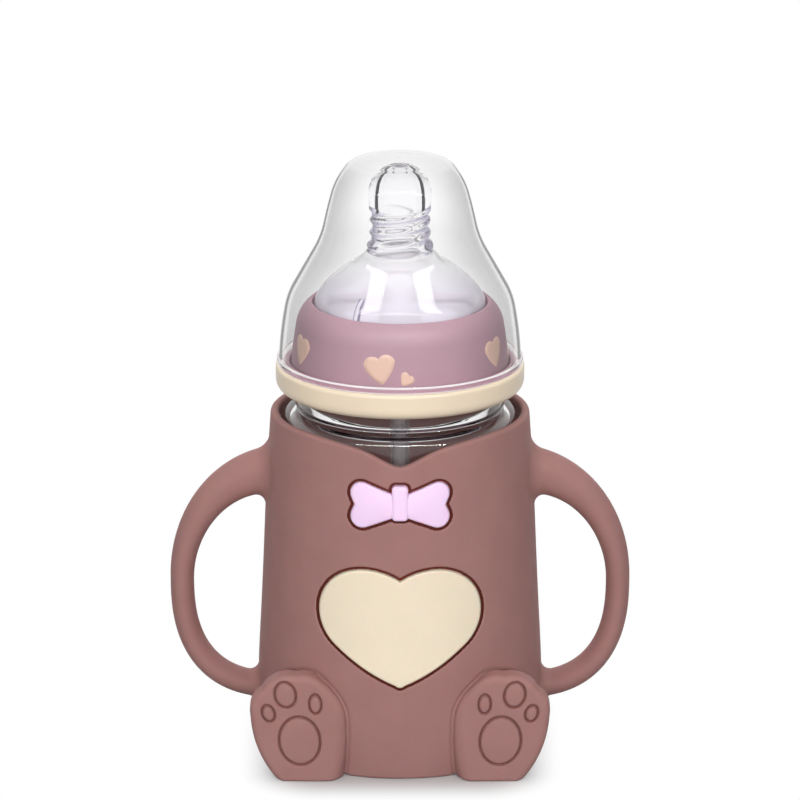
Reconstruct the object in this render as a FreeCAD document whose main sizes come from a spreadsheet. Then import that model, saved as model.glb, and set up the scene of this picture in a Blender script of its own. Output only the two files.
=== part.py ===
import FreeCAD
import Part
import math
import os
import re
import Sketcher

# Baby bottle: a glass bottle in a silicone sleeve with two loop handles and two paws, a screw collar with
# a trim ring, a spiral-necked nipple under a clear dust cap, and a straw with a weighted foot.
# Millimetres; the origin is the middle of the sleeve's flat base, +Z is up and the bow faces -Y.

SIZES = {
    # Silicone sleeve
    "sleeve_base_r": 35.4,
    "sleeve_base_edge": 2.6,
    "sleeve_belly_r": 36.4,
    "sleeve_belly_z": 18.0,
    "sleeve_belly_bend": 81.0,
    "sleeve_side_bend": 1500.0,
    "sleeve_rim_r": 33.1,
    "sleeve_rim_z": 88.4,
    "sleeve_rim_edge": 0.9,
    "sleeve_floor": 3.2,
    "sleeve_bore_r": 30.95,
    "notch_half_width": 18.0,
    "notch_depth": 5.3,
    "notch_flank_x": 9.0,
    "notch_flank_drop": 2.2,
    "notch_root_half": 2.4,
    "notch_root_r": 6.0,
    "notch_shoulder_r": 26.0,
    "notch_edge_over": 0.18,
    "cut_over": 4.0,
    # Loop handles
    "handle_root_x": 31.6,
    "handle_reach": 24.7,
    "handle_mid_z": 42.6,
    "handle_half_height": 29.2,
    "handle_top_thick": 12.8,
    "handle_mid_thick": 6.1,
    "handle_low_thick": 6.2,
    "handle_top_depth": 13.0,
    "handle_mid_depth": 10.0,
    "handle_low_depth": 11.0,
    "handle_blend": 2.4,
    # Paws
    "paw_x": 26.5,
    "paw_front": 36.2,
    "paw_length": 27.0,
    "paw_lean": 4.0,
    "paw_heel_in": 10.0,
    "paw_heel_out": 4.5,
    "paw_in": 12.1,
    "paw_in_z": 14.0,
    "paw_out": 11.5,
    "paw_out_z": 18.2,
    "paw_crown_in": 6.6,
    "paw_crown_in_z": 26.2,
    "paw_crown_out": 5.4,
    "paw_crown_out_z": 26.6,
    "paw_heel_bend": 48.0,
    "paw_in_bend": 14.6,
    "paw_crown_bend": 19.0,
    "paw_brow_bend": 9.6,
    "paw_out_bend": 27.0,
    "paw_edge": 2.0,
    "paw_blend": 1.4,
    "base_edge": 1.2,
    # Heart and bow let into the sleeve
    "recess_depth": 1.2,
    "inlay_gap": 0.3,
    "inlay_proud": 0.45,
    "inlay_top_drop": 2.7,
    "heart_tip_z": 25.0,
    "heart_tip_run": 1.3,
    "heart_lobe_x": 8.9,
    "heart_lobe_z": 44.0,
    "heart_lobe_r": 11.6,
    "heart_brow_r": 15.6,
    "heart_side_drop": 9.2,
    "heart_side_bend": 55.0,
    "bow_z": 73.4,
    "bow_half_width": 12.5,
    "bow_wing_half": 6.1,
    "bow_wing_notch": 0.8,
    "bow_waist_half": 2.4,
    "bow_corner": 2.4,
    "bow_knot_half_width": 2.1,
    "bow_knot_half_height": 4.6,
    "bow_knot_proud": 1.4,
    # Glass bottle
    "glass_r": 30.7,
    "glass_wall": 2.4,
    "glass_floor": 4.0,
    "glass_foot_edge": 6.0,
    "glass_inner_edge": 5.0,
    "glass_punt": 1.0,
    "glass_punt_r": 18.0,
    "glass_punt_slope": 2.0,
    "glass_shoulder_z": 80.6,
    "glass_shoulder_rise": 7.0,
    "glass_shoulder_bend": 9.0,
    "glass_neck_z": 88.8,
    "glass_bead_r": 26.3,
    "glass_bead_z": 93.6,
    "glass_bead_edge": 1.1,
    "glass_finish_r": 24.6,
    "glass_rim_z": 111.0,
    "glass_bore_r": 21.5,
    "glass_rim_edge": 1.0,
    # Straw adapter
    "adapter_flange_r": 24.4,
    "adapter_flange_thick": 1.2,
    "adapter_plug_r": 21.2,
    "adapter_plug_drop": 3.0,
    "adapter_plug_wall": 1.4,
    "adapter_web_thick": 1.4,
    "adapter_step_r": 5.5,
    "adapter_step_z": 116.6,
    "adapter_top_r": 3.9,
    "adapter_top_z": 121.0,
    "adapter_socket_r": 3.9,
    "adapter_socket_z": 105.6,
    "adapter_vent_r": 1.8,
    "adapter_vent_at": 13.0,
    "adapter_vents": 6.0,
    # Nipple
    "nipple_flange_r": 24.4,
    "nipple_flange_thick": 2.0,
    "nipple_wall": 1.6,
    "nipple_skirt_r": 21.8,
    "nipple_skirt_z": 117.2,
    "nipple_shoulder_r": 10.4,
    "nipple_shoulder_z": 128.2,
    "nipple_shoulder_bend": 25.0,
    "nipple_throat_bend": 7.8,
    "nipple_neck_r": 7.2,
    "nipple_neck_low_z": 134.2,
    "nipple_neck_high_z": 140.2,
    "nipple_bulb_drop": 2.0,
    "nipple_bulb_r": 8.1,
    "nipple_bulb_z": 144.3,
    "nipple_dimple_r": 1.9,
    "nipple_dimple_depth": 0.9,
    "nipple_hole_r": 0.5,
    "nipple_spirals": 2.0,
    "nipple_spiral_pitch": 6.4,
    "nipple_spiral_turns": 1.9,
    "nipple_spiral_z": 129.4,
    "nipple_spiral_r": 1.0,
    "nipple_spiral_sunk": 0.2,
    # Screw collar and trim ring
    "collar_bore_r": 26.6,
    "collar_foot_z": 95.2,
    "collar_foot_r": 28.6,
    "collar_foot_rise": 1.4,
    "collar_skirt_r": 28.1,
    "collar_shoulder_r": 26.5,
    "collar_shoulder_z": 111.4,
    "collar_shoulder_bend": 120.0,
    "collar_crown_r": 23.0,
    "collar_crown_bend": 5.2,
    "collar_top_z": 117.0,
    "collar_opening_r": 22.3,
    "collar_lock_r": 24.9,
    "collar_lock_rise": 15.0,
    "ring_r": 31.8,
    "ring_foot_z": 94.6,
    "ring_ledge_z": 100.8,
    "ring_foot_edge": 2.7,
    "ring_ledge_edge": 0.8,
    "ring_lip_r": 29.1,
    "ring_lip_z": 101.6,
    "ring_gap": 0.05,
    # Dust cap
    "cap_wall": 1.5,
    "cap_bead_r": 31.5,
    "cap_bead_height": 1.8,
    "cap_bead_edge": 0.7,
    "cap_foot_r": 30.9,
    "cap_skirt_r": 29.4,
    "cap_skirt_z": 115.6,
    "cap_skirt_bend": 88.0,
    "cap_shoulder_r": 27.2,
    "cap_shoulder_z": 121.4,
    "cap_shoulder_bend": 19.3,
    "cap_throat_r": 22.2,
    "cap_throat_z": 130.2,
    "cap_neck_r": 19.4,
    "cap_neck_z": 137.6,
    "cap_throat_bend": 25.6,
    "cap_side_r": 17.4,
    "cap_side_z": 145.6,
    "cap_side_bend": 107.0,
    "cap_brow_r": 14.2,
    "cap_brow_z": 151.6,
    "cap_brow_bend": 18.9,
    "cap_crown_r": 11.0,
    "cap_crown_z": 153.7,
    "cap_corner_bend": 5.2,
    "cap_crown_bend": 52.0,
    # Straw and its weighted foot
    "straw_r": 2.5,
    "straw_bore_r": 1.5,
    "straw_top_z": 110.0,
    "straw_foot_z": 29.0,
    "weight_r": 7.0,
    "weight_wall": 1.0,
    "weight_neck_r": 3.9,
    "weight_neck_z": 35.0,
    "weight_shoulder_z": 31.0,
    "weight_side_z": 28.5,
    "weight_roof": 1.0,
    "weight_foot_z": 14.0,
    "steel_r": 5.8,
    "steel_bore_r": 2.6,
    "steel_height": 10.0,
    "steel_edge": 0.5,
    "endcap_thick": 2.2,
    "endcap_edge": 1.0,
    "endcap_plug_rise": 3.0,
    "endcap_plug_wall": 1.2,
    "endcap_slots": 4.0,
    "endcap_slot_width": 1.6,
    "endcap_slot_bend": 0.9,
    "endcap_slot_from": 1.8,
    "endcap_slot_to": 4.6,
    "fit_gap": 0.05,
}

# How closely points and edges are compared, in mm
NEAR_ZERO = 1e-9
TOUCHING = 1e-3
FLOOR_BAND = 1.0
EDGE_SAMPLES = 5

# Handle: ovals along it, its way round the corners, and how late it swells towards its roots
HANDLE_STATIONS = 9
HANDLE_STEP = 0.01
HANDLE_SWELL = 1.5
UPPER_SQUARENESS = 2.0
LOWER_SQUARENESS = 2.5

doc = FreeCAD.newDocument("baby_bottle")
sheet = doc.addObject("Spreadsheet::Sheet", "Sizes")
for row, (alias, size) in enumerate(SIZES.items(), start=1):
    sheet.set(f"A{row}", alias)
    sheet.set(f"B{row}", str(size))
    sheet.setAlias(f"B{row}", alias)
doc.recompute()


def value(formula):
    """Number that a formula of sheet aliases gives."""
    return float(sheet.evalExpression(formula))


def linked(formula):
    """The same formula as other objects of the document refer to it."""
    return re.sub(r"[a-z]\w*", lambda word: f"Sizes.{word[0]}" if word[0] in SIZES else word[0], formula)


def bind(thing, prop, formula):
    """Lets a formula set a property."""
    thing.setExpression(prop, linked(formula))


def plane_of(body, role):
    """Plane or axis of a body's own origin."""
    return next(feature for feature in body.Origin.OriginFeatures if feature.Role == role)


def new_body(name):
    """Empty body for a row of features."""
    return doc.addObject("PartDesign::Body", name)


def arc_top(start, end, radius):
    """Middle point of an arc of under half a turn, which turns left when its radius is positive."""
    chord = end - start
    left = FreeCAD.Vector(-chord.y, chord.x, 0).normalize()
    inset = abs(radius) - math.sqrt(radius * radius - chord.Length ** 2 / 4)
    return start + chord * 0.5 - left * math.copysign(inset, radius)


def add_stretch(sketch, start, end, radius):
    """Line or arc of an outline; gives its number and which of its ends the stretch starts from."""
    if radius is None:
        return sketch.addGeometry(Part.LineSegment(start, end), False), 1
    top = arc_top(start, end, radius)
    if radius > 0:
        return sketch.addGeometry(Part.Arc(start, top, end), False), 1
    return sketch.addGeometry(Part.Arc(end, top, start), False), 2


def fix_point(sketch, number, end, axis, formula):
    """Ties one coordinate of a stretch's end to its formula."""
    size = value(formula)
    if abs(size) < NEAR_ZERO:
        sketch.addConstraint(Sketcher.Constraint("PointOnObject", number, end, -2 if axis == "X" else -1))
        return
    rule = Sketcher.Constraint(f"Distance{axis}", -1, 1, number, end, size)
    bind(sketch, f"Constraints[{sketch.addConstraint(rule)}]", formula)


def outline(body, name, role, stops):
    """Closed sketch through stops, (x, y) formulas with, for an arc to the next stop, its radius."""
    sketch = body.newObject("Sketcher::SketchObject", name)
    sketch.AttachmentSupport = [(plane_of(body, role), "")]
    sketch.MapMode = "FlatFace"
    points = [FreeCAD.Vector(value(stop[0]), value(stop[1]), 0) for stop in stops]
    stretches = []
    for index, stop in enumerate(stops):
        radius = value(stop[2]) if len(stop) > 2 else None
        stretches.append(add_stretch(sketch, points[index], points[(index + 1) % len(stops)], radius))
    for index, (number, begin) in enumerate(stretches):
        following, following_begin = stretches[(index + 1) % len(stops)]
        sketch.addConstraint(Sketcher.Constraint("Coincident", number, 3 - begin, following, following_begin))
    for stop, (number, begin) in zip(stops, stretches):
        fix_point(sketch, number, begin, "X", stop[0])
        fix_point(sketch, number, begin, "Y", stop[1])
        if len(stop) > 2:
            rule = Sketcher.Constraint("Radius", number, abs(value(stop[2])))
            bind(sketch, f"Constraints[{sketch.addConstraint(rule)}]", f"abs({stop[2]})")
    return sketch


def end_directions(stops):
    """Directions in which each stretch of an open outline starts and ends."""
    points = [FreeCAD.Vector(value(stop[0]), value(stop[1]), 0) for stop in stops]
    directions = []
    for stop, start, end in zip(stops, points, points[1:]):
        chord = end - start
        half_turn = math.asin(chord.Length / 2 / value(stop[2])) if len(stop) > 2 else 0
        along = math.atan2(chord.y, chord.x)
        directions.append((along - half_turn, along + half_turn))
    return directions


def inner_face(stops, wall):
    """Way back along an open outline, one wall to its left, with the arcs round the same centres."""
    directions = end_directions(stops)
    last = len(stops) - 1
    back = []
    for index in range(last, -1, -1):
        arriving = directions[max(index - 1, 0)][0 if index == 0 else 1]
        leaving = directions[min(index, last - 1)][1 if index == last else 0]
        heading = (arriving + leaving) / 2
        across = f"{stops[index][0]} - {wall} * {math.sin(heading):.6f}" if index < last else stops[last][0]
        up = f"{stops[index][1]} + {wall} * {math.cos(heading):.6f}"
        arc = [f"-({stops[index - 1][2]} - {wall})"] if index and len(stops[index - 1]) > 2 else []
        back.append((across, up, *arc))
    return back


def axis_height(across, up, bend):
    """Height at which an arc from a stop reaches the axis, when its centre is on the axis."""
    return f"{up} + {bend} - sqrt(({bend}) ^ 2 - ({across}) ^ 2)"


def revolve(body, name, stops):
    """Turns an outline drawn right of the axis about +Z."""
    sketch = outline(body, f"{name}Profile", "XZ_Plane", stops)
    feature = body.newObject("PartDesign::Revolution", name)
    feature.Profile = sketch
    feature.ReferenceAxis = (sketch, ["V_Axis"])
    feature.Angle = 360
    doc.recompute()
    return feature


def pad(body, name, role, stops, length, backwards=False):
    """Pads an outline forwards from its plane, or backwards."""
    feature = body.newObject("PartDesign::Pad", name)
    feature.Profile = outline(body, f"{name}Outline", role, stops)
    bind(feature, "Length", length)
    feature.Reversed = backwards
    doc.recompute()
    return feature


def pocket(body, name, sketch):
    """Cuts an outline through everything above and below its plane."""
    before = body.Shape.Volume
    feature = body.newObject("PartDesign::Pocket", name)
    feature.Profile = sketch
    feature.Type = "ThroughAll"
    feature.Midplane = True
    doc.recompute()
    if body.Shape.Volume >= before:
        raise RuntimeError(f"{name} cuts nothing")
    return feature


def ring_of(body, name, feature, count):
    """Repeats a feature evenly round the Z axis."""
    ring = body.newObject("PartDesign::PolarPattern", name)
    ring.Originals = [feature]
    ring.Axis = (plane_of(body, "Z_Axis"), [""])
    ring.Angle = 360
    bind(ring, "Occurrences", count)
    body.Tip = ring
    doc.recompute()
    return ring


def add_circle(sketch, across, up, radius):
    """Circle with its centre and radius tied to formulas."""
    centre = FreeCAD.Vector(value(across), value(up), 0)
    circle = sketch.addGeometry(Part.Circle(centre, FreeCAD.Vector(0, 0, 1), value(radius)), False)
    fix_point(sketch, circle, 3, "X", across)
    fix_point(sketch, circle, 3, "Y", up)
    rule = Sketcher.Constraint("Radius", circle, value(radius))
    bind(sketch, f"Constraints[{sketch.addConstraint(rule)}]", radius)


def circle_on(body, name, role, across, radius):
    """Sketch of one circle on the first axis of an origin plane."""
    sketch = body.newObject("Sketcher::SketchObject", name)
    sketch.AttachmentSupport = [(plane_of(body, role), "")]
    sketch.MapMode = "FlatFace"
    add_circle(sketch, across, "0", radius)
    return sketch


def combine(kind, name, **links):
    """Boolean feature over other objects."""
    feature = doc.addObject(f"Part::{kind}", name)
    for prop, link in links.items():
        setattr(feature, prop, link)
    doc.recompute()
    return feature


def mirrored(thing, name):
    """Copy on the other side of the YZ plane."""
    feature = doc.addObject("Part::Mirroring", name)
    feature.Source = thing
    feature.Normal = FreeCAD.Vector(1, 0, 0)
    doc.recompute()
    return feature


def finish(thing, label):
    """Gives a sub-part its name."""
    thing.Label = label
    doc.recompute()
    return thing


def on_surface(point, shape):
    """True for a point on a solid's skin."""
    return Part.Vertex(point).distToShape(shape.Shells[0])[0] < TOUCHING


def meeting_edges(fused, first, second):
    """Numbers of the fused shape's edges along which two of its pieces meet."""
    numbers = []
    for number, edge in enumerate(fused.Shape.Edges, start=1):
        points = edge.discretize(EDGE_SAMPLES)
        if all(on_surface(point, first.Shape) and on_surface(point, second.Shape) for point in points):
            numbers.append(number)
    return numbers


def round_edges(base, name, blends):
    """Rounds a shape's edges, given as (number, radius)."""
    feature = doc.addObject("Part::Fillet", name)
    feature.Base = base
    feature.Edges = [(number, radius, radius) for number, radius in blends]
    doc.recompute()
    return feature


def sleeve_side(offset="0"):
    """Stops up the sleeve's outer side, moved out by an offset."""
    return [
        (f"sleeve_base_r + {offset}", "sleeve_base_edge", "sleeve_belly_bend"),
        (f"sleeve_belly_r + {offset}", "sleeve_belly_z", "sleeve_side_bend"),
    ]


def build_sleeve_body():
    """The sleeve's tube, still solid."""
    body = new_body("SleeveTube")
    revolve(body, "SleeveOuter", [
        ("0", "0"),
        ("sleeve_base_r", "0"),
        *sleeve_side(),
        ("sleeve_rim_r", "sleeve_rim_z - sleeve_rim_edge", "sleeve_rim_edge"),
        ("sleeve_rim_r - sleeve_rim_edge", "sleeve_rim_z"),
        ("0", "sleeve_rim_z"),
    ])
    return body


def handle_place(turn):
    """Shares of the handle's reach and half height at a turn from its top root, 1, to the bottom, -1."""
    squareness = UPPER_SQUARENESS if turn >= 0 else LOWER_SQUARENESS
    angle = math.radians(90 * turn)
    out = abs(math.cos(angle)) ** (2 / squareness)
    rise = math.copysign(abs(math.sin(angle)) ** (2 / squareness), turn)
    return out, rise


def build_handle():
    """Loop handle lofted through ovals that stand square to its middle line."""
    ovals = []
    for station in range(HANDLE_STATIONS):
        turn = 1 - 2 * station / (HANDLE_STATIONS - 1)
        out, rise = handle_place(turn)
        before = handle_place(min(turn + HANDLE_STEP, 1))
        after = handle_place(max(turn - HANDLE_STEP, -1))
        run = value("handle_reach") * (after[0] - before[0])
        drop = value("handle_half_height") * (after[1] - before[1])
        end = "top" if turn > 0 else "low"
        share = abs(turn) ** HANDLE_SWELL
        oval = doc.addObject("Part::Ellipse", f"HandleOval{station}")
        for prop, size in (("MajorRadius", "depth"), ("MinorRadius", "thick")):
            bind(oval, prop, f"(handle_mid_{size} + (handle_{end}_{size} - handle_mid_{size}) * {share}) / 2")
        bind(oval, "Placement.Base.x", f"handle_root_x + handle_reach * {out}")
        bind(oval, "Placement.Base.z", f"handle_mid_z + handle_half_height * {rise}")
        along = FreeCAD.Vector(run, 0, drop).normalize()
        depth = FreeCAD.Vector(0, 1, 0)
        oval.Placement.Rotation = FreeCAD.Rotation(depth, along.cross(depth), along, "ZXY")
        ovals.append(oval)
    loft = doc.addObject("Part::Loft", "Handle")
    loft.Sections = ovals
    loft.Solid = True
    doc.recompute()
    return loft


def build_paw():
    """Left paw: an egg-shaped sole that leans back a little, carried back into the sleeve."""
    body = new_body("Paw")
    pad(body, "PawSole", "XZ_Plane", [
        ("-paw_heel_out", "0"),
        ("paw_heel_in", "0", "paw_heel_bend"),
        ("paw_in", "paw_in_z", "paw_in_bend"),
        ("paw_crown_in", "paw_crown_in_z", "paw_crown_bend"),
        ("-paw_crown_out", "paw_crown_out_z", "paw_brow_bend"),
        ("-paw_out", "paw_out_z", "paw_out_bend"),
    ], "paw_length", backwards=True)
    feature = pocket(body, "PawLean", outline(body, "PawLeanOutline", "YZ_Plane", [
        ("0", "0"),
        ("(paw_length + cut_over) * tan(paw_lean)", "paw_length + cut_over"),
        ("-cut_over", "paw_length + cut_over"),
        ("-cut_over", "0"),
    ]))
    front = max(feature.Shape.Faces, key=lambda face: -face.CenterOfMass.y)
    names = [f"Edge{number}" for number, edge in enumerate(feature.Shape.Edges, start=1)
             if any(edge.isSame(other) for other in front.Edges) and edge.CenterOfMass.z > FLOOR_BAND]
    rounding = body.newObject("PartDesign::Fillet", "PawEdge")
    rounding.Base = (feature, names)
    bind(rounding, "Radius", "paw_edge")
    bind(body, "Placement.Base.x", "-paw_x")
    bind(body, "Placement.Base.y", "-paw_front")
    doc.recompute()
    return body


def build_cavity():
    """Room for the bottle, with the rim's inner edge rounded."""
    body = new_body("SleeveCavity")
    revolve(body, "Cavity", [
        ("0", "sleeve_floor"),
        ("sleeve_bore_r - glass_foot_edge", "sleeve_floor", "glass_foot_edge"),
        ("sleeve_bore_r", "sleeve_floor + glass_foot_edge"),
        ("sleeve_bore_r", "sleeve_rim_z - sleeve_rim_edge", "-sleeve_rim_edge"),
        ("sleeve_bore_r + sleeve_rim_edge", "sleeve_rim_z"),
        ("sleeve_bore_r + sleeve_rim_edge", "sleeve_rim_z + sleeve_floor"),
        ("0", "sleeve_rim_z + sleeve_floor"),
    ])
    return body


def build_notch():
    """Soft V in the front of the rim."""
    body = new_body("SleeveNotch")
    above = "sleeve_rim_z + cut_over"
    edge = "sleeve_rim_z + notch_edge_over"
    flank = "sleeve_rim_z - notch_flank_drop"
    root = "sleeve_rim_z - notch_depth"
    pad(body, "Notch", "XZ_Plane", [
        ("-notch_half_width", above),
        ("-notch_half_width", edge, "-notch_shoulder_r"),
        ("-notch_flank_x", flank),
        ("-notch_root_half", root, "notch_root_r"),
        ("notch_root_half", root),
        ("notch_flank_x", flank, "-notch_shoulder_r"),
        ("notch_half_width", edge),
        ("notch_half_width", above),
    ], "sleeve_rim_r + cut_over")
    return body


def build_inlay_shell(name, depth, proud):
    """Skin of the sleeve from a depth below its side to a height above it."""
    body = new_body(name)
    low = sleeve_side(f"({proud})")
    high = sleeve_side(f"(-{depth})")
    top = "sleeve_rim_z - inlay_top_drop"
    revolve(body, f"{name}Skin", [
        *low,
        (f"sleeve_rim_r + {proud}", top),
        (f"sleeve_rim_r - {depth}", top, "-sleeve_side_bend"),
        (high[1][0], "sleeve_belly_z", "-sleeve_belly_bend"),
        (high[0][0], "sleeve_base_edge"),
    ])
    return body


def build_moulding():
    """Sleeve, handles and paws as one moulding, blended where they meet and rounded at the base."""
    tube = build_sleeve_body()
    handle = build_handle()
    paw = build_paw()
    sides = [handle, mirrored(handle, "HandleLeft"), paw, mirrored(paw, "PawRight")]
    fused = combine("MultiFuse", "Moulding", Shapes=[tube, *sides])
    blends = []
    for side, radius in zip(sides, ("handle_blend", "handle_blend", "paw_blend", "paw_blend")):
        blends += [(number, value(radius)) for number in meeting_edges(fused, tube, side)]
    blended = round_edges(fused, "MouldingBlend", blends)
    edges = enumerate(blended.Shape.Edges, start=1)
    base = [(number, value("base_edge")) for number, edge in edges if edge.BoundBox.ZMax < TOUCHING]
    return round_edges(blended, "MouldingBase", base)


def heart_stops(grow):
    """Outline of the heart, two lobes and two bowed sides that meet in a tip, grown all round."""
    lobe = f"(heart_lobe_r + {grow})"
    brow = f"(heart_brow_r + {grow})"
    notch = f"heart_lobe_z + heart_lobe_r - heart_brow_r + sqrt({brow} ^ 2 - heart_lobe_x ^ 2)"
    side_x = f"heart_lobe_x + sqrt({lobe} ^ 2 - heart_side_drop ^ 2)"
    side_z = "heart_lobe_z - heart_side_drop"
    return [
        ("0", f"heart_tip_z - heart_tip_run * ({grow})", "heart_side_bend"),
        (side_x, side_z, lobe),
        ("heart_lobe_x", f"heart_lobe_z + {lobe}", brow),
        ("0", notch, brow),
        ("-heart_lobe_x", f"heart_lobe_z + {lobe}", lobe),
        (f"-({side_x})", side_z, "heart_side_bend"),
    ]


def bow_stops(grow):
    """Outline of the bow's two wings, grown all round."""
    end = f"bow_half_width + {grow}"
    inner = f"bow_half_width + {grow} - bow_corner"
    half = f"bow_wing_half + {grow}"
    stops = []
    for side in ("", "-"):
        stops += [
            (f"{side}({inner})", f"bow_z - {side}({half})", "bow_corner"),
            (f"{side}({end})", f"bow_z - {side}({half} - bow_corner)"),
            (f"{side}({end} - bow_wing_notch)", "bow_z"),
            (f"{side}({end})", f"bow_z + {side}({half} - bow_corner)", "bow_corner"),
            (f"{side}({inner})", f"bow_z + {side}({half})"),
            ("0", f"bow_z + {side}(bow_waist_half + {grow})"),
        ]
    return stops


def knot_stops(grow):
    """Outline of the bow's knot, grown all round."""
    half = f"bow_knot_half_width + {grow}"
    rise = f"bow_knot_half_height + {grow}"
    return [
        (f"-({half})", f"bow_z - ({rise})"),
        (half, f"bow_z - ({rise})"),
        (half, f"bow_z + {rise}"),
        (f"-({half})", f"bow_z + {rise}"),
    ]


def build_prism(name, stops):
    """Outline carried forward from the axis through the sleeve's front."""
    body = new_body(name)
    pad(body, f"{name}Prism", "XZ_Plane", stops, "sleeve_belly_r + cut_over")
    return body


def build_inlay(name, stops, skin):
    """Piece of the sleeve's skin inside an outline."""
    return combine("Common", name, Base=build_prism(f"{name}Outline", stops), Tool=skin)


def build_sleeve():
    """The moulding, hollowed for the bottle, notched at the rim and recessed for the heart and the bow."""
    moulding = build_moulding()
    skin = build_inlay_shell("RecessSkin", "recess_depth", "cut_over")
    recesses = [
        build_inlay("HeartRecess", heart_stops("inlay_gap"), skin),
        build_inlay("BowRecess", bow_stops("inlay_gap"), skin),
        build_inlay("KnotRecess", knot_stops("inlay_gap"), skin),
    ]
    hollow = combine("Cut", "SleeveHollow", Base=moulding, Tool=build_cavity())
    notched = combine("Cut", "SleeveNotched", Base=hollow, Tool=build_notch())
    tools = combine("MultiFuse", "Recesses", Shapes=recesses)
    return finish(combine("Cut", "Sleeve", Base=notched, Tool=tools), "silicone_sleeve")


def build_heart():
    """Heart that fills its recess and stands a little proud."""
    skin = build_inlay_shell("HeartSkin", "recess_depth", "inlay_proud")
    return finish(build_inlay("Heart", heart_stops("0"), skin), "heart_patch")


def build_bow():
    """Bow that fills its recess, with the knot standing above the wings."""
    wing_skin = build_inlay_shell("WingSkin", "recess_depth", "inlay_proud")
    knot_skin = build_inlay_shell("KnotSkin", "recess_depth", "bow_knot_proud")
    wings = build_inlay("BowWings", bow_stops("0"), wing_skin)
    knot = build_inlay("BowKnot", knot_stops("0"), knot_skin)
    return finish(combine("MultiFuse", "Bow", Shapes=[wings, knot]), "bow_tie")


def build_glass_bottle():
    """Blown bottle: punted base, round shoulder, bead and the finish that the collar screws onto."""
    body = new_body("Glass")
    inner = "glass_r - glass_wall"
    floor = "sleeve_floor + glass_floor"
    shoulder_in = "glass_shoulder_bend - glass_wall"
    revolve(body, "GlassBlown", [
        ("0", "sleeve_floor + glass_punt"),
        ("glass_punt_r", "sleeve_floor + glass_punt"),
        ("glass_punt_r + glass_punt_slope", "sleeve_floor"),
        ("glass_r - glass_foot_edge", "sleeve_floor", "glass_foot_edge"),
        ("glass_r", "sleeve_floor + glass_foot_edge"),
        ("glass_r", "glass_shoulder_z", "glass_shoulder_bend"),
        ("glass_r - glass_shoulder_bend + sqrt(glass_shoulder_bend ^ 2 - glass_shoulder_rise ^ 2)",
         "glass_shoulder_z + glass_shoulder_rise"),
        ("glass_bead_r - glass_bead_edge", "glass_neck_z", "glass_bead_edge"),
        ("glass_bead_r", "glass_neck_z + glass_bead_edge"),
        ("glass_bead_r", "glass_bead_z - glass_bead_edge", "glass_bead_edge"),
        ("glass_bead_r - glass_bead_edge", "glass_bead_z"),
        ("glass_finish_r", "glass_bead_z"),
        ("glass_finish_r", "glass_rim_z - glass_rim_edge", "glass_rim_edge"),
        ("glass_finish_r - glass_rim_edge", "glass_rim_z"),
        ("glass_bore_r + glass_rim_edge", "glass_rim_z", "glass_rim_edge"),
        ("glass_bore_r", "glass_rim_z - glass_rim_edge"),
        ("glass_bore_r", f"glass_shoulder_z + {shoulder_in}"),
        (f"{inner} - ({shoulder_in})", f"glass_shoulder_z + {shoulder_in}", f"-({shoulder_in})"),
        (inner, "glass_shoulder_z"),
        (inner, f"{floor} + glass_inner_edge", "-glass_inner_edge"),
        (f"{inner} - glass_inner_edge", floor),
        ("0", floor),
    ])
    return finish(body, "glass_bottle")


def build_straw_adapter():
    """Seal plate on the bottle's rim with a stepped spout up into the nipple and a socket for the straw."""
    body = new_body("Adapter")
    top = "glass_rim_z + adapter_flange_thick"
    web = "glass_rim_z - adapter_plug_drop"
    well = "adapter_plug_r - adapter_plug_wall"
    revolve(body, "AdapterTurned", [
        ("straw_bore_r", "straw_top_z"),
        ("straw_r", "straw_top_z"),
        ("straw_r", "adapter_socket_z"),
        ("adapter_socket_r", "adapter_socket_z"),
        ("adapter_socket_r", web),
        ("adapter_plug_r", web),
        ("adapter_plug_r", "glass_rim_z"),
        ("adapter_flange_r", "glass_rim_z"),
        ("adapter_flange_r", top),
        (well, top),
        (well, f"{web} + adapter_web_thick"),
        ("adapter_step_r", f"{web} + adapter_web_thick"),
        ("adapter_step_r", "adapter_step_z"),
        ("adapter_top_r", "adapter_step_z"),
        ("adapter_top_r", "adapter_top_z"),
        ("straw_bore_r", "adapter_top_z"),
    ])
    circle = circle_on(body, "AdapterVentCircle", "XY_Plane", "adapter_vent_at", "adapter_vent_r")
    ring_of(body, "AdapterVents", pocket(body, "AdapterVent", circle), "adapter_vents")
    return finish(body, "straw_adapter")


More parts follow.
